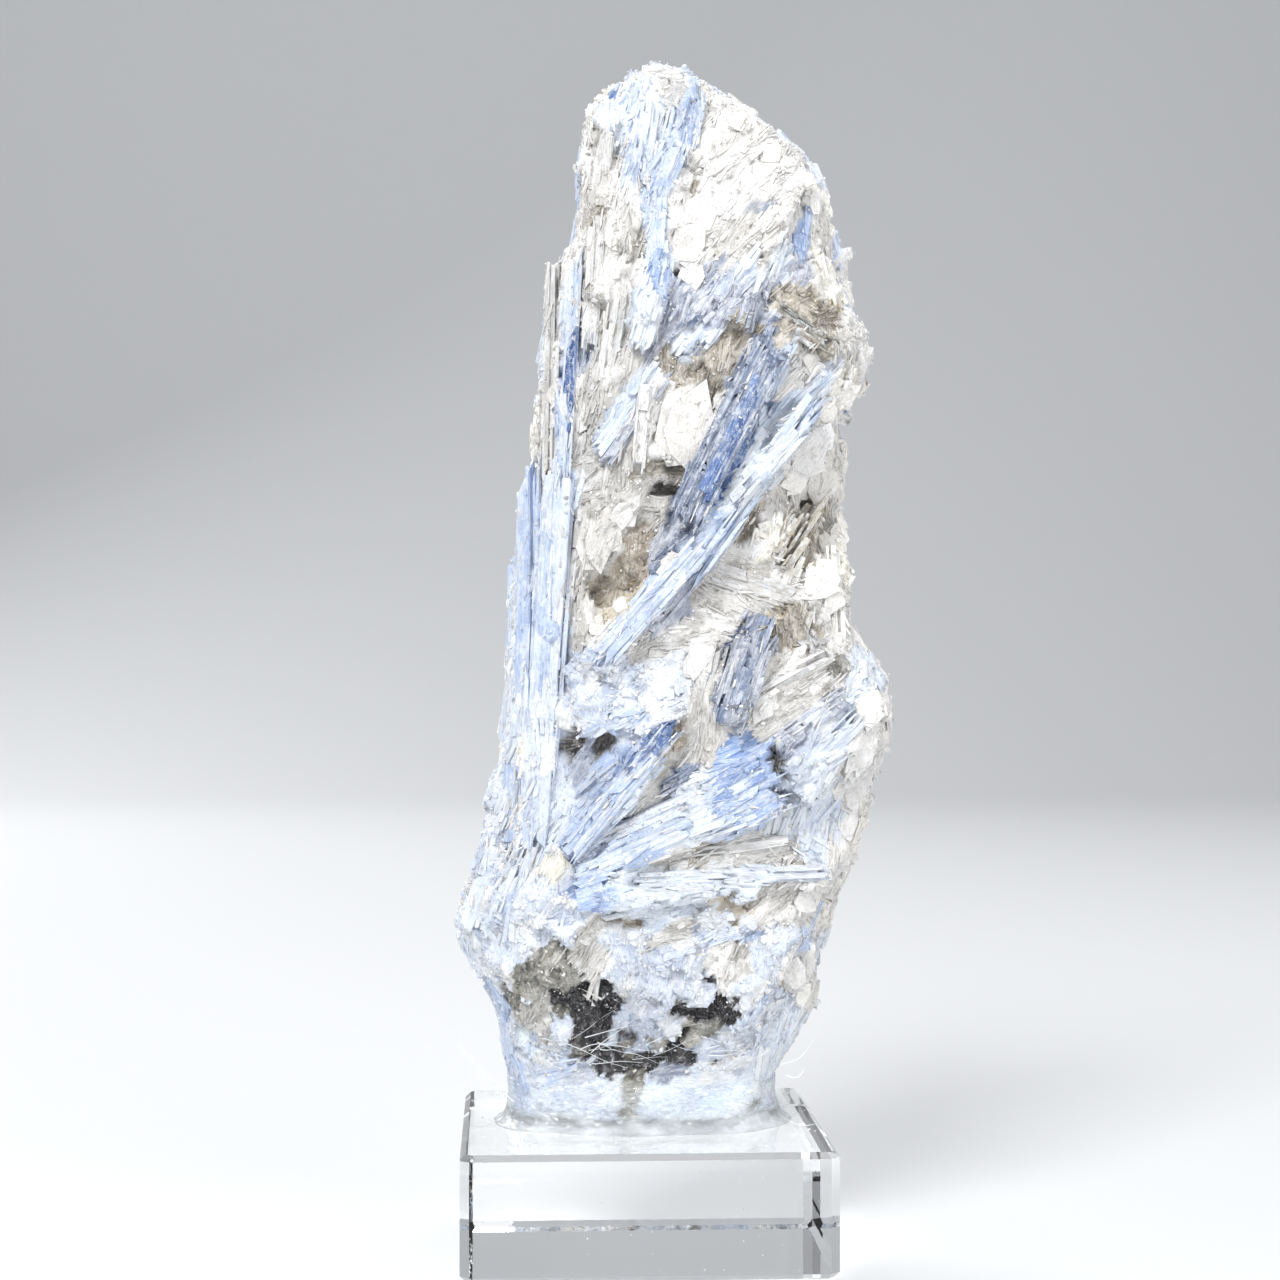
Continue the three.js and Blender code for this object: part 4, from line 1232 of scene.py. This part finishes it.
for foot, tip, *rest in LARGE_BLADES:
    lay_blade(bm, [on_layout(*foot), on_layout(*tip)], FRONT, *rest)
print(len(LARGE_BLADES), "blades on the front")

# %% [markdown]
# The sides and the back get blades too. Each starts from a random point of the body and runs
# near the stone's length. A plane is fitted to the body under it, and a blade that would bridge a
# hollow or stand over an edge is left out.

# %% Large blades of the sides and the back
SIDE_BLADES = 76
SIDE_BLADE_KINDS = ["ice"] * 6 + ["sky"] * 5 + ["blue"] * 3 + ["silver"] * 3 + ["ash"] * 2 + [
    "cobalt", "snow", "snow", "slate"]
SIDE_BLADE_LENGTHS = (6, 24)  # mm
SIDE_BLADE_WIDTHS = (1.2, 4.4)  # mm
LATHS_TO_MM = 2.6  # laths for each millimetre of a blade's width
FLAT_ENOUGH = 0.6 * MM  # how far the body may lie off a blade's own plane
FOOT_CLEAR = 20 * MM  # the sides have no large crystals below this, where the stone narrows
TOP_CLEAR = 7 * MM  # and none this near the top


def line_beside(point, length, lean):
    """The two ends of a line through a point of the body, and the way into the stone there."""
    inward = -Vector((normals[point][0], normals[point][1], 0)).normalized()
    across = inward.cross(Vector((0, 0, 1)))
    along = across * math.cos(lean) + Vector((0, 0, math.sin(lean)))
    middle = Vector(points[point])
    return [middle - along * length / 2, middle + along * length / 2], inward


def flush_facing(ends, inward, half_width):
    """How far a blade must turn about the upright to lie flush, or None where it can't."""
    across = (ends[1] - ends[0]).cross(inward).normalized() * half_width
    edges = (-1, 0, 1)
    rows = [(edge, share, 1, depth) for edge in edges
            for share, depth in depths_along([end + across * edge for end in ends], inward)]
    if len(rows) < len(edges) * STATIONS:
        return None
    rows = np.array(rows)
    slopes = np.linalg.lstsq(rows[:, :3], rows[:, 3], rcond=None)[0]
    if np.abs(rows[:, :3] @ slopes - rows[:, 3]).max() > FLAT_ENOUGH:
        return None
    return -math.atan(slopes[0] / half_width)


off_front = ((normals[:, 1] > 0.3) & (np.abs(normals[:, 2]) < 0.6)
             & (points[:, 2] > stone_low.z + FOOT_CLEAR)
             & (points[:, 2] < stone_high.z - TOP_CLEAR))
laid = 0
for point in luck.choice(np.flatnonzero(off_front), 40 * SIDE_BLADES, replace=False):
    ends, inward = line_beside(point, dice.uniform(*SIDE_BLADE_LENGTHS) * MM,
                               math.radians(dice.gauss(88, 20)))
    width = dice.uniform(*SIDE_BLADE_WIDTHS)
    facing = flush_facing(ends, inward, width * MM / 2)
    if facing is None:
        continue
    lay_blade(bm, ends, inward, width, dice.choice(SIDE_BLADE_KINDS),
              math.ceil(width * LATHS_TO_MM), dice.uniform(-0.05, 0.2), facing=facing)
    laid += 1
    if laid == SIDE_BLADES:
        break
print(laid, "blades on the sides and the back")
blade_tree = BVHTree.FromBMesh(bm)
large_blades = as_object("large_kyanite_blades", bm, [kyanite])
finish_piece(large_blades)

# %% [markdown]
# ## The large flakes
#
# Here and there a sheet of white mica lies open, as broad as a fingernail. Each is a thin pile of
# uneven plates. A plane is fitted to the rock under it, so that the sheet lies on the rock however
# the rock slopes.

# %% Lay one large flake
BROAD_SHEETS = 4
FLAKE_THICKNESS = 0.7 * MM
FLAKE_LIFT = 0.22 * MM  # how far its top lies above most of the rock under it
STEEPEST = 0.9  # the most that it slopes with the rock, as rise over run


def broad_stamp(number):
    """A thin pile of wide uneven plates."""
    bm = bmesh.new()
    for sheet in range(BROAD_SHEETS):
        shift = (dice.uniform(-0.12, 0.12), dice.uniform(-0.12, 0.12))
        plate(bm, 7, 0.58 - 0.02 * sheet, sheet / BROAD_SHEETS - 0.5, 0.85 / BROAD_SHEETS,
              dice.uniform(0, 6), shift)
    return as_stamp(bm, f"broad_{number}")


STAMPS["broad"] = [broad_stamp(n) for n in range(9)]


def lay_flake(bm, middle, inward, width, length, lean, mineral, bias=0.0):
    """Lays a pile of plates on a plane that is fitted to the rock around a place.

    Width and length are in millimetres and the lean is in degrees. The bias turns the plates
    from the rock's own slope toward straight out, and lifts them."""
    across = inward.cross(Vector((0, 0, 1)))
    rows = []
    for aside in np.linspace(-0.35, 0.35, 5) * width * MM:
        for beyond in np.linspace(-0.35, 0.35, 5) * length * MM:
            hit = surface_at(middle + across * aside + Vector((0, 0, beyond)), inward)
            if hit is not None:
                rows.append((aside, beyond, 1, hit.dot(inward)))
    rows = np.array(rows)
    slopes = np.linalg.lstsq(rows[:, :3], rows[:, 3], rcond=None)[0]
    slopes[:2] = np.clip(slopes[:2], -STEEPEST, STEEPEST)
    proud = np.percentile(rows[:, :3] @ slopes - rows[:, 3], 75)
    out = (across * slopes[0] + Vector((0, 0, slopes[1])) - inward).normalized()
    out = (out - inward * bias).normalized()
    out += Vector((dice.gauss(0, 0.06), dice.gauss(0, 0.06), dice.gauss(0, 0.06)))
    middle = middle + inward * (slopes[2] - proud - middle.dot(inward))
    middle += out * (FLAKE_LIFT * (1 + bias) - FLAKE_THICKNESS / 2)
    lean = math.radians(lean)
    along = across * math.cos(lean) + Vector((0, 0, math.sin(lean)))
    size = (width * MM, length * MM, FLAKE_THICKNESS)
    stamp(bm, "broad", frame_at(middle, out, along), size, shade_of(NAMES.index(mineral)))


# %% [markdown]
# The flakes of the front are listed one by one too. Those of the sides and the back are seeded,
# and are left out where the rock isn't flat enough for them.

# %% Lay the large flakes
LARGE_FLAKES = [
    # across, up, width, length, lean, mineral and, where it has one, the bias
    (23.2, 72.6, 5.6, 7.6, 78, "snow", 0.5), (25.6, 71.4, 3.2, 4.6, 70, "snow", 0.8),
    (21.6, 74.4, 3, 4, 95, "snow"), (36, 69.6, 4.4, 5.2, 60, "snow", 1.5),
    (37.2, 71.8, 2.8, 3.4, 60, "snow", 2), (34.6, 67.2, 3, 3.6, 50, "snow", 1.5),
    (37.8, 67, 3.4, 4.4, 60, "snow", 1.5), (38, 74.6, 2.2, 2.6, 30, "snow", 1.5),
    (37.4, 56.6, 3.6, 4.8, 80, "cream", 1.5), (38.4, 60.4, 2.6, 3.8, 95, "cream"),
    (38.4, 54.6, 2.4, 3, 80, "snow", 1.5), (14.4, 61.2, 4.4, 6.4, 75, "silver", 0.3),
    (16.6, 63.4, 3, 4.2, 60, "silver"), (13.2, 57.9, 2.4, 3.4, 70, "silver"),
    (23.2, 91.2, 4, 4.6, 60, "snow"), (24.4, 95, 3.6, 5, 75, "snow"),
    (23.6, 88.4, 3, 2.4, 20, "snow"), (34.3, 15.6, 3, 3.6, 100, "snow", 1.5),
    (35.3, 13.4, 2, 2.6, 70, "cream", 1), (41.4, 39.4, 3.6, 6.4, 78, "snow", 1),
    (41, 35, 3.2, 5.2, 70, "snow", 1), (40.2, 31.2, 2.8, 3.8, 70, "snow", 1),
    (42.2, 43, 2.6, 3.4, 80, "snow", 0.7), (39.8, 76, 2.8, 3.6, 40, "snow", 0.8),
    (36.2, 79, 3, 2.4, 20, "silver"), (30.8, 98.8, 3.6, 4.6, 45, "snow"),
    (15.6, 92.4, 2.6, 3.8, 80, "snow"), (29.4, 56.4, 2.6, 4.6, 160, "silver"),
    (21.6, 57.6, 3.4, 3, 10, "silver"), (33.2, 46.8, 2.6, 4.6, 35, "snow"),
    (24.4, 48.2, 2.8, 3.4, 60, "snow"), (30.9, 49.2, 2, 3, 60, "silver"),
    (35.6, 23.4, 2.6, 3, 60, "snow", 1), (30.6, 43.4, 2.2, 3, 70, "snow", 0.5),
    (32.3, 101.3, 2.2, 2.8, 70, "snow", 0.6), (34, 100.2, 1.8, 2.6, 50, "snow", 0.4),
    (35.6, 98.6, 2.2, 2.6, 60, "cream", 0.5), (37, 96.2, 1.8, 3, 80, "snow", 0.4),
    (28.8, 104.6, 2, 2.4, 40, "snow", 0.5),
]
SIDE_FLAKES = 46

bm = bmesh.new()
for across, up, *rest in LARGE_FLAKES:
    lay_flake(bm, on_layout(across, up), FRONT, *rest)
laid = 0
for point in luck.choice(np.flatnonzero(off_front), 20 * SIDE_FLAKES, replace=False):
    length = dice.uniform(2.4, 6)
    width = length * dice.uniform(0.45, 0.8)
    ends, inward = line_beside(point, length * MM, math.radians(90))
    if flush_facing(ends, inward, width * MM / 2) is None:
        continue
    lay_flake(bm, Vector(points[point]), inward, width, length,
              dice.uniform(0, 180), dice.choice(("snow", "snow", "silver", "cream")))
    laid += 1
    if laid == SIDE_FLAKES:
        break
print(laid, "large flakes on the sides and the back")
flake_tree = BVHTree.FromBMesh(bm)
large_flakes = as_object("large_mica_flakes", bm, [mica])
finish_piece(large_flakes)

# %% [markdown]
# ## The small crystals
#
# Small crystals cover the rest. Each lands on a point of the body, takes the mineral and the lean
# of its patch, and is half sunk, so that only a broken edge or a face of it shows.

# %% Sizes and numbers of the small crystals
HABIT_SIZES = {
    # kind of stamp: share, width, length, thickness, how far it stands out, all in mm, and how
    # far it leans out, in radians
    "lath": [("lath", 0.84, (0.15, 0.75), (1.0, 5.0), (0.3, 0.6), (0.0, 0.15), 0.03),
             ("splinter", 0.16, (0.08, 0.2), (0.8, 2.4), (0.12, 0.3), (0.08, 0.22), 0.2)],
    "fibre": [("lath", 0.70, (0.10, 0.34), (0.9, 3.8), (0.25, 0.4), (0.0, 0.18), 0.05),
              ("splinter", 0.18, (0.07, 0.16), (0.8, 2.4), (0.1, 0.2), (0.08, 0.25), 0.25),
              ("flake", 0.12, (0.8, 2.0), (0.8, 2.4), (0.2, 0.4), (0.0, 0.08), 0.15)],
    "sheet": [("flake", 0.30, (0.9, 2.8), (1.1, 3.4), (0.3, 0.5), (0.0, 0.07), 0.05),
              ("lath", 0.46, (0.10, 0.38), (1.0, 4.4), (0.25, 0.4), (0.0, 0.14), 0.05),
              ("book", 0.06, (0.9, 2.2), (1.0, 2.6), (0.4, 0.7), (0.1, 0.35), 0.2),
              ("splinter", 0.18, (0.07, 0.16), (0.7, 2.2), (0.1, 0.2), (0.08, 0.25), 0.25)],
    "grain": [("flake", 0.34, (0.4, 1.5), (0.4, 1.7), (0.2, 0.4), (0.0, 0.16), 0.35),
              ("crumb", 0.34, (0.2, 0.7), (0.2, 0.9), (0.2, 0.5), (0.0, 0.18), 0.5),
              ("lath", 0.20, (0.12, 0.4), (0.5, 1.8), (0.25, 0.4), (0.0, 0.2), 0.2),
              ("book", 0.04, (0.6, 1.3), (0.6, 1.5), (0.3, 0.6), (0.1, 0.3), 0.4),
              ("splinter", 0.08, (0.08, 0.16), (0.6, 1.6), (0.1, 0.2), (0.05, 0.25), 0.4)],
    "crumb": [("crumb", 0.50, (0.2, 0.7), (0.2, 0.8), (0.2, 0.6), (0.05, 0.3), 0.5),
              ("flake", 0.40, (0.3, 1.0), (0.3, 1.1), (0.08, 0.2), (0.05, 0.25), 0.5),
              ("splinter", 0.10, (0.1, 0.2), (0.6, 1.8), (0.1, 0.2), (0.1, 0.3), 0.4)],
}
CROWD = {"lath": 1.0, "fibre": 1.5, "sheet": 1.2, "grain": 1.8, "crumb": 1.9}
WANDER = {"lath": 0.09, "book": 0.6, "flake": 0.9, "splinter": 0.35, "crumb": 2.0}  # radians
SMALL_COUNT = 16000
FROSTING = 0.7  # share of the points under a large blade that get a small crystal on top of it
FLAKE_FROSTING = 0.22  # and the same of the large flakes, which are cleaner
COVER_REACH = 3 * MM
END_CLEARANCE = 0.22 * MM  # how far the end of a small crystal may stand out of the body
SHRINK = 0.65  # how much of it is left each time it has to be made shorter
ABOVE_GLUE = 0.5 * MM
CELL_SHADE = 0.55  # share of its colour that it takes from the body under it
PILES = {
    # habit: the name and the finish of the piece that holds its crystals
    "lath": ("small_kyanite_laths", kyanite),
    "fibre": ("silvery_mica_fibres", fibres),
    "sheet": ("white_mica_flakes", mica),
    "grain": ("frosted_grains", mica),
    # The dark crumbs are black mica and, in the sunk patches, painted shade.
    "crumb": ("dark_mica_and_shade_painted_crumb_pile", crumbs),
}

point_habit = [MINERALS[NAMES[m]][2] for m in point_mineral]
weights = np.array([CROWD[habit] for habit in point_habit])
weights *= points[:, 2] > glue_high.z + ABOVE_GLUE
chosen = luck.choice(point_count, SMALL_COUNT, replace=False, p=weights / weights.sum())
piles = {habit: bmesh.new() for habit in PILES}
print(len(chosen), "points chosen")


# %% Look for what covers a point, and for ends that stand out
def cover_over(point):
    """The top of the large blade or flake over a point of the body, and whether it is a flake."""
    out = Vector(normals[point])
    start = Vector(moved[point]) + out * COVER_REACH
    blade, flake = (tree.ray_cast(start, -out, COVER_REACH) for tree in (blade_tree, flake_tree))
    if flake[0] is not None and (blade[0] is None or flake[3] < blade[3]):
        return flake[0], True
    return blade[0], False


def stands_out(place, size):
    """How far the ends and sides of a crystal stand out of the body."""
    out = 0
    for side, end in ((0, 0.5), (0, -0.5), (0.5, 0), (-0.5, 0)):
        tip = place @ Vector((side * size[0], end * size[1], 0))
        nearest, facing = body_tree.find_nearest(tip)[:2]
        out = max(out, (tip - nearest).dot(facing))
    return out


# %% Stamp the small crystals
for point in chosen:
    habit = point_habit[point]
    kinds = HABIT_SIZES[habit]
    pick = dice.random()
    for kind, share, widths, lengths, thicknesses, stands, lean in kinds:
        pick -= share
        if pick <= 0:
            break
    size = [dice.uniform(*widths) * MM, lengths[0] * MM, dice.uniform(*thicknesses) * MM]
    size[1] += (lengths[1] - lengths[0]) * MM * dice.random() ** 1.6
    normal = normals[point]
    along = cell_along[point_cell[point]]
    aside = cell_across[point_cell[point]]
    top, on_flake = cover_over(point)
    if top is not None:
        if dice.random() > (FLAKE_FROSTING if on_flake else FROSTING):
            continue
        kind = dice.choice(("lath", "splinter", "crumb"))
        size = [dice.uniform(0.10, 0.32) * MM, dice.uniform(0.4, 2.6) * MM, 0.25 * MM]
        if kind == "crumb":
            size[1] = size[0] * 1.4
    wander = dice.gauss(0, WANDER[kind])
    along = along * math.cos(wander) + aside * math.sin(wander)
    sink = size[2] / 2 - dice.uniform(*stands) * MM
    surface = Vector(moved[point]) if top is None else top
    place = frame_at(surface - Vector(normal) * sink, normal, along,
                     roll=dice.gauss(0, 0.10), pitch=dice.gauss(0, lean))
    for _ in range(4):
        if stands_out(place, size) < END_CLEARANCE or top is not None:
            break
        size[1] *= SHRINK
        size[0] *= SHRINK if kind in ("flake", "book") else 1
    else:
        continue
    shade = (cell_shade[point_cell[point]] * CELL_SHADE
             + shade_of(point_mineral[point]) * (1 - CELL_SHADE))
    if top is not None and dice.random() < 0.45:
        shade = shade_of(NAMES.index("snow"))
    stamp(piles[habit], kind, place, size, shade)
for habit, bm in piles.items():
    name, material = PILES[habit]
    pile = as_object(name, bm, [material])
    finish_piece(pile)

# %% [markdown]
# Crushed crystal clings to a broken rock like sugar. It is thousands of tiny pale crumbs, thicker
# on the granular mica than on the clean faces of the blades.

# %% Sugar of crushed crystal
SUGAR_COUNT = 12500
SUGAR_CROWD = {"lath": 0.9, "fibre": 1.2, "sheet": 1.0, "grain": 1.8, "crumb": 0.6}
SUGAR_CLUMP = 4 * MM  # the size of the drifts that it gathers in
SUGAR_ON_COVER = 0.7  # how much smaller it is on the large blades and flakes

weights = np.array([SUGAR_CROWD[habit] for habit in point_habit])
weights *= points[:, 2] > glue_high.z + ABOVE_GLUE
drifts = [noise.noise(Vector(place) / SUGAR_CLUMP) for place in points]
weights *= 0.25 + np.clip(np.array(drifts) * 2, 0, 1)
chosen = luck.choice(point_count, SUGAR_COUNT, replace=False, p=weights / weights.sum())
bm = bmesh.new()
for point in chosen:
    size = dice.uniform(0.12, 0.20 + 0.35 * dice.random() ** 3) * MM
    stands = dice.uniform(-0.04, 0.2) * MM
    top = cover_over(point)[0]
    surface = Vector(moved[point]) if top is None else top
    size *= 1 if top is None else SUGAR_ON_COVER
    place = frame_at(surface + Vector(normals[point]) * stands, normals[point],
                     (dice.gauss(0, 1), dice.gauss(0, 1), dice.gauss(0, 1)))
    mineral = point_mineral[point] if dice.random() < 0.35 else NAMES.index("snow")
    stamp(bm, "grit", place, (size, size * dice.uniform(1, 1.8), size * 0.8), shade_of(mineral))
sugar = as_object("crushed_crystal", bm, [mica])
finish_piece(sugar)

# %% [markdown]
# ## The glue
#
# Hot-melt glue sets as a clear, rounded, slightly streaky mound. It is built as a stack of rings
# round the stone's foot. Each ring's points are pushed out to the stone's own outline and then a
# little further, and the top is drawn in under the stone's skin so that the mound closes there.

# %% Clear glue finish
glue_finish = Finish("clear_glue")
glue_place = glue_finish.place()
glue_streaks = glue_finish.noise(glue_place * (1.0, 1.0, 2.2), 260, 3, 0.6)
glue_ripple = glue_finish.noise(glue_place, 900, 2, 0.5)
glue_normal = glue_finish.bump(glue_streaks + glue_ripple * 0.3, 0.0012, 0.8)
see_through = glue_finish.node(
    "BsdfPrincipled",
    Base_Color=glue_finish.mix(glue_finish.step(glue_streaks, 0.45, 0.7),
                               (0.97, 0.985, 1, 1), (0.88, 0.93, 0.98, 1)),
    Roughness=glue_finish.step(glue_streaks, 0.42, 0.72) * 0.22 + 0.05,
    IOR=1.48,
    Transmission_Weight=1.0,
    Normal=glue_normal,
)
milky = glue_finish.node(
    "BsdfPrincipled",
    Base_Color=(0.87, 0.93, 0.99, 1),
    Roughness=0.25,
    Subsurface_Weight=0.6,
    Subsurface_Radius=(1, 1, 1),
    Subsurface_Scale=1.5 * MM,
    Normal=glue_normal,
)
glue_height = glue_finish.node("SeparateXYZ", None, 2, Vector=glue_place)
near_block = 1 - glue_finish.step(glue_height, block_high.z, block_high.z + 2.2 * MM)
milkiness = glue_finish.step(glue_streaks, 0.40, 0.70) * 0.45 + near_block * 0.55 + 0.05
clear_glue = glue_finish.surface(
    glue_finish.node("MixShader", None, 0, i0=milkiness, i1=see_through, i2=milky))
print("glue finish made")

# %% Mound of glue
GLUE_SIDES = 120
GLUE_RINGS = [
    # height above the block, how far it stands out of the stone, both in mm
    (0.02, 2.6), (0.10, 2.5), (0.22, 2.1), (0.6, 1.55), (1.3, 1.2), (2.2, 0.85), (3.2, 0.65),
    (4.2, 0.45), (4.9, 0.2), (5.3, -0.5),
]
LUMPS = 0.35  # mm that the mound's lumps stand out
foot_centre = Vector(((glue_low.x + glue_high.x) / 2, (glue_low.y + glue_high.y) / 2, 0))


def foot_reach(angle, height):
    """How far the stone's outline is from the foot's centre, at an angle and a height."""
    out = Vector((math.cos(angle), math.sin(angle), 0))
    level = max(height, stone_low.z + 0.4 * MM)
    start = foot_centre + out * 0.05 + Vector((0, 0, level))
    hit = body_tree.ray_cast(start, -out)[0]
    return (hit - foot_centre).xy.length if hit is not None else 0.01


bm = bmesh.new()
rings = [bmesh.ops.create_circle(bm, cap_ends=True, segments=GLUE_SIDES, radius=0.01)["verts"]]
ring_edges = bm.edges[:]
for _ in GLUE_RINGS[1:]:
    made = bmesh.ops.extrude_edge_only(bm, edges=ring_edges)["geom"]
    ring_edges = [e for e in made if isinstance(e, bmesh.types.BMEdge)]
    rings.append([v for v in made if isinstance(v, bmesh.types.BMVert)])
bmesh.ops.contextual_create(bm, geom=ring_edges)
for ring, (rise, stand) in zip(rings, GLUE_RINGS):
    for vert in ring:
        angle = math.atan2(vert.co.y, vert.co.x)
        lump = noise.noise(Vector((math.cos(angle) * 2.2, math.sin(angle) * 2.2, rise * 0.5)))
        climb = noise.noise(Vector((math.cos(angle) * 1.7 + 9, math.sin(angle) * 1.7, 0)))
        height = block_high.z + (rise * (1 + 0.16 * climb if rise > 0.5 else 1)) * MM
        reach = foot_reach(angle, height) + (stand + LUMPS * lump) * MM
        vert.co = foot_centre + Vector((math.cos(angle) * reach, math.sin(angle) * reach, height))
bmesh.ops.smooth_vert(bm, verts=[v for ring in rings[1:] for v in ring], factor=0.5,
                      use_axis_x=True, use_axis_y=True, use_axis_z=False)
bmesh.ops.recalc_face_normals(bm, faces=bm.faces)
glue = as_object("glue_mound", bm, [clear_glue], smooth=True)
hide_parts("mounting_glue")
glue.visible_shadow = False
finish_piece(glue)

# %% [markdown]
# Where the glue gun was pulled away it left hairs: a long one at the left, a few short ones at
# the right, and a web across the dark patch. Each is a thin tube round a curve.

# %% Glue hairs
HAIR_RADIUS = 0.07 * MM
WEB_HAIRS = 22

hair_finish = Finish("glue_hair")
hair_skin = hair_finish.noise(hair_finish.place(), 3000, 2)
glue_hair = hair_finish.surface(hair_finish.node(
    "BsdfPrincipled",
    Base_Color=(0.86, 0.89, 0.92, 1),
    Roughness=0.25,
    Normal=hair_finish.bump(hair_skin, 0.00005),
))
hair_curve = bpy.data.curves.new("glue_hairs", "CURVE")
hair_curve.dimensions = "3D"
hair_curve.bevel_depth = HAIR_RADIUS
hair_curve.bevel_resolution = 1
hair_curve.resolution_u = 5


def add_hair(places, thick=1.0):
    """Adds a tapering hair through places in metres."""
    spline = hair_curve.splines.new("BEZIER")
    spline.bezier_points.add(len(places) - 1)
    for number, (point, place) in enumerate(zip(spline.bezier_points, places)):
        point.co = place
        point.handle_left_type = point.handle_right_type = "AUTO"
        point.radius = thick * (1 - 0.7 * number / max(len(places) - 1, 1))


def beside(x, y, z):
    """A place from the centre of the block's top, in mm."""
    return Vector((x * MM, y * MM, block_high.z + z * MM))


add_hair([beside(-13.6, -5.5, 3.0), beside(-15.3, -6.5, 4.6), beside(-17, -7, 6.6),
          beside(-18.6, -7.2, 8.2), beside(-19.6, -7, 9.8)], 1.3)
add_hair([beside(14.6, -5, 6.6), beside(16.4, -5.6, 7.4), beside(17.9, -5.8, 9.4)], 1.2)
add_hair([beside(14.9, -6, 5.6), beside(16.0, -6.2, 5.4), beside(16.9, -6.4, 6.4)], 1.6)
add_hair([beside(15.2, -6, 0.8), beside(16.6, -7, 0.5), beside(17.8, -7.4, 0.7)], 1.0)
web = random.Random(5)
for _ in range(WEB_HAIRS):
    across, up = web.uniform(7.5, 26), web.uniform(5.6, 9.4)
    length, lean = web.uniform(1.8, 7.5), web.gauss(0.0, 0.28)
    places = []
    for share in (0, 0.33, 0.66, 1):
        place = on_layout(across + length * math.cos(lean) * share,
                          up + length * math.sin(lean) * share + web.gauss(0, 0.12))
        hit = surface_at(place, FRONT)
        if hit is not None:
            places.append(hit + Vector((0, -0.25 * MM, 0)))
    if len(places) > 1:
        add_hair(places, web.uniform(0.35, 0.95))
hair_holder = bpy.data.objects.new("hair_holder", hair_curve)
bpy.context.scene.collection.objects.link(hair_holder)
evaluated = hair_holder.evaluated_get(bpy.context.evaluated_depsgraph_get())
hair_mesh = bpy.data.meshes.new_from_object(evaluated)
bpy.data.objects.remove(hair_holder)
glue_hairs = mesh_as_object("glue_hairs", hair_mesh, [glue_hair], smooth=True)
finish_piece(glue_hairs)

# %% [markdown]
# ## The display block
#
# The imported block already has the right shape: a square of acrylic with flat polished chamfers.
# It stays, and only gets its finish. Cast acrylic is as clear as glass but bends light a little
# less, and it picks up faint scratches and dust.

# %% Clear acrylic finish
acrylic = Finish("clear_acrylic")
acrylic_place = acrylic.place()
scratch = acrylic.noise(acrylic_place * (1.0, 0.06, 1.0), 1500, 2, 0.5)
haze = acrylic.noise(acrylic_place, 160, 3, 0.6)
clear_acrylic = acrylic.surface(acrylic.node(
    "BsdfPrincipled",
    Base_Color=(0.985, 0.992, 0.995, 1),
    Roughness=acrylic.step(scratch, 0.66, 0.74) * 0.10 + acrylic.step(haze, 0.55, 0.75) * 0.03,
    IOR=1.49,
    Transmission_Weight=1.0,
    Normal=acrylic.bump(scratch, 0.00001, 0.25),
))
block = frame["nodes"]["acrylic_base"]
block.data.materials.clear()
block.data.materials.append(clear_acrylic)
block.visible_shadow = False
print("block keeps its shape:", len(block.data.polygons), "faces")

# %% [markdown]
# Dust and crumbs of mica lie on the block round the glue.

# %% Dust on the block
DUST_ON_TOP = 150
DUST_ON_SIDES = 90
dust_low = block_low + Vector((MM, MM, MM))  # dust keeps a millimetre off the block's edges
dust_high = block_high - Vector((MM, MM, MM))

bm = bmesh.new()
for _ in range(DUST_ON_TOP):
    x = dice.uniform(dust_low.x, dust_high.x)
    y = dice.uniform(dust_low.y, dust_high.y)
    size = dice.uniform(0.06, 0.26) * MM
    normal = Vector((dice.gauss(0, 0.2), dice.gauss(0, 0.2), 1))
    place = frame_at(Vector((x, y, block_high.z + size * 0.25)), normal,
                     (dice.gauss(0, 1), dice.gauss(0, 1), 0))
    stamp(bm, dice.choice(("crumb", "splinter")), place,
          (size, size * dice.uniform(1, 2.4), size * 0.6), shade_of(NAMES.index("snow")))
for _ in range(DUST_ON_SIDES):
    face = dice.choice(("front", "front", "left", "right", "back"))
    size = dice.uniform(0.05, 0.15) * MM
    z = dice.uniform(dust_low.z, dust_high.z)
    if face in ("front", "back"):
        normal = Vector((0, -1 if face == "front" else 1, 0))
        x = dice.uniform(dust_low.x, dust_high.x)
        spot = Vector((x, block_low.y if face == "front" else block_high.y, z))
    else:
        normal = Vector((-1 if face == "left" else 1, 0, 0))
        y = dice.uniform(dust_low.y, dust_high.y)
        spot = Vector((block_low.x if face == "left" else block_high.x, y, z))
    place = frame_at(spot + normal * size * 0.2, normal, (0.3, 0.4, dice.gauss(0, 1)))
    stamp(bm, "crumb", place, (size, size * 1.3, size * 0.5), shade_of(NAMES.index("snow")))
dust = as_object("mica_dust", bm, [mica])
finish_piece(dust)

# %% [markdown]
# ## Measure and finish
#
# How far the visual model stands out of the imported model's box is printed for each side, as a
# share of that side. The visual model has to stay in the imported model's box, give or take
# three hundredths of each side.

# %% Write the sizes and finish
seen_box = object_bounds()
for axis in range(3):
    side = cad_box[1][axis] - cad_box[0][axis]
    under = (cad_box[0][axis] - seen_box[0][axis]) / side
    over = (seen_box[1][axis] - cad_box[1][axis]) / side
    print("XYZ"[axis], "stands out by", f"{under:.3f} and {over:.3f} of the side")
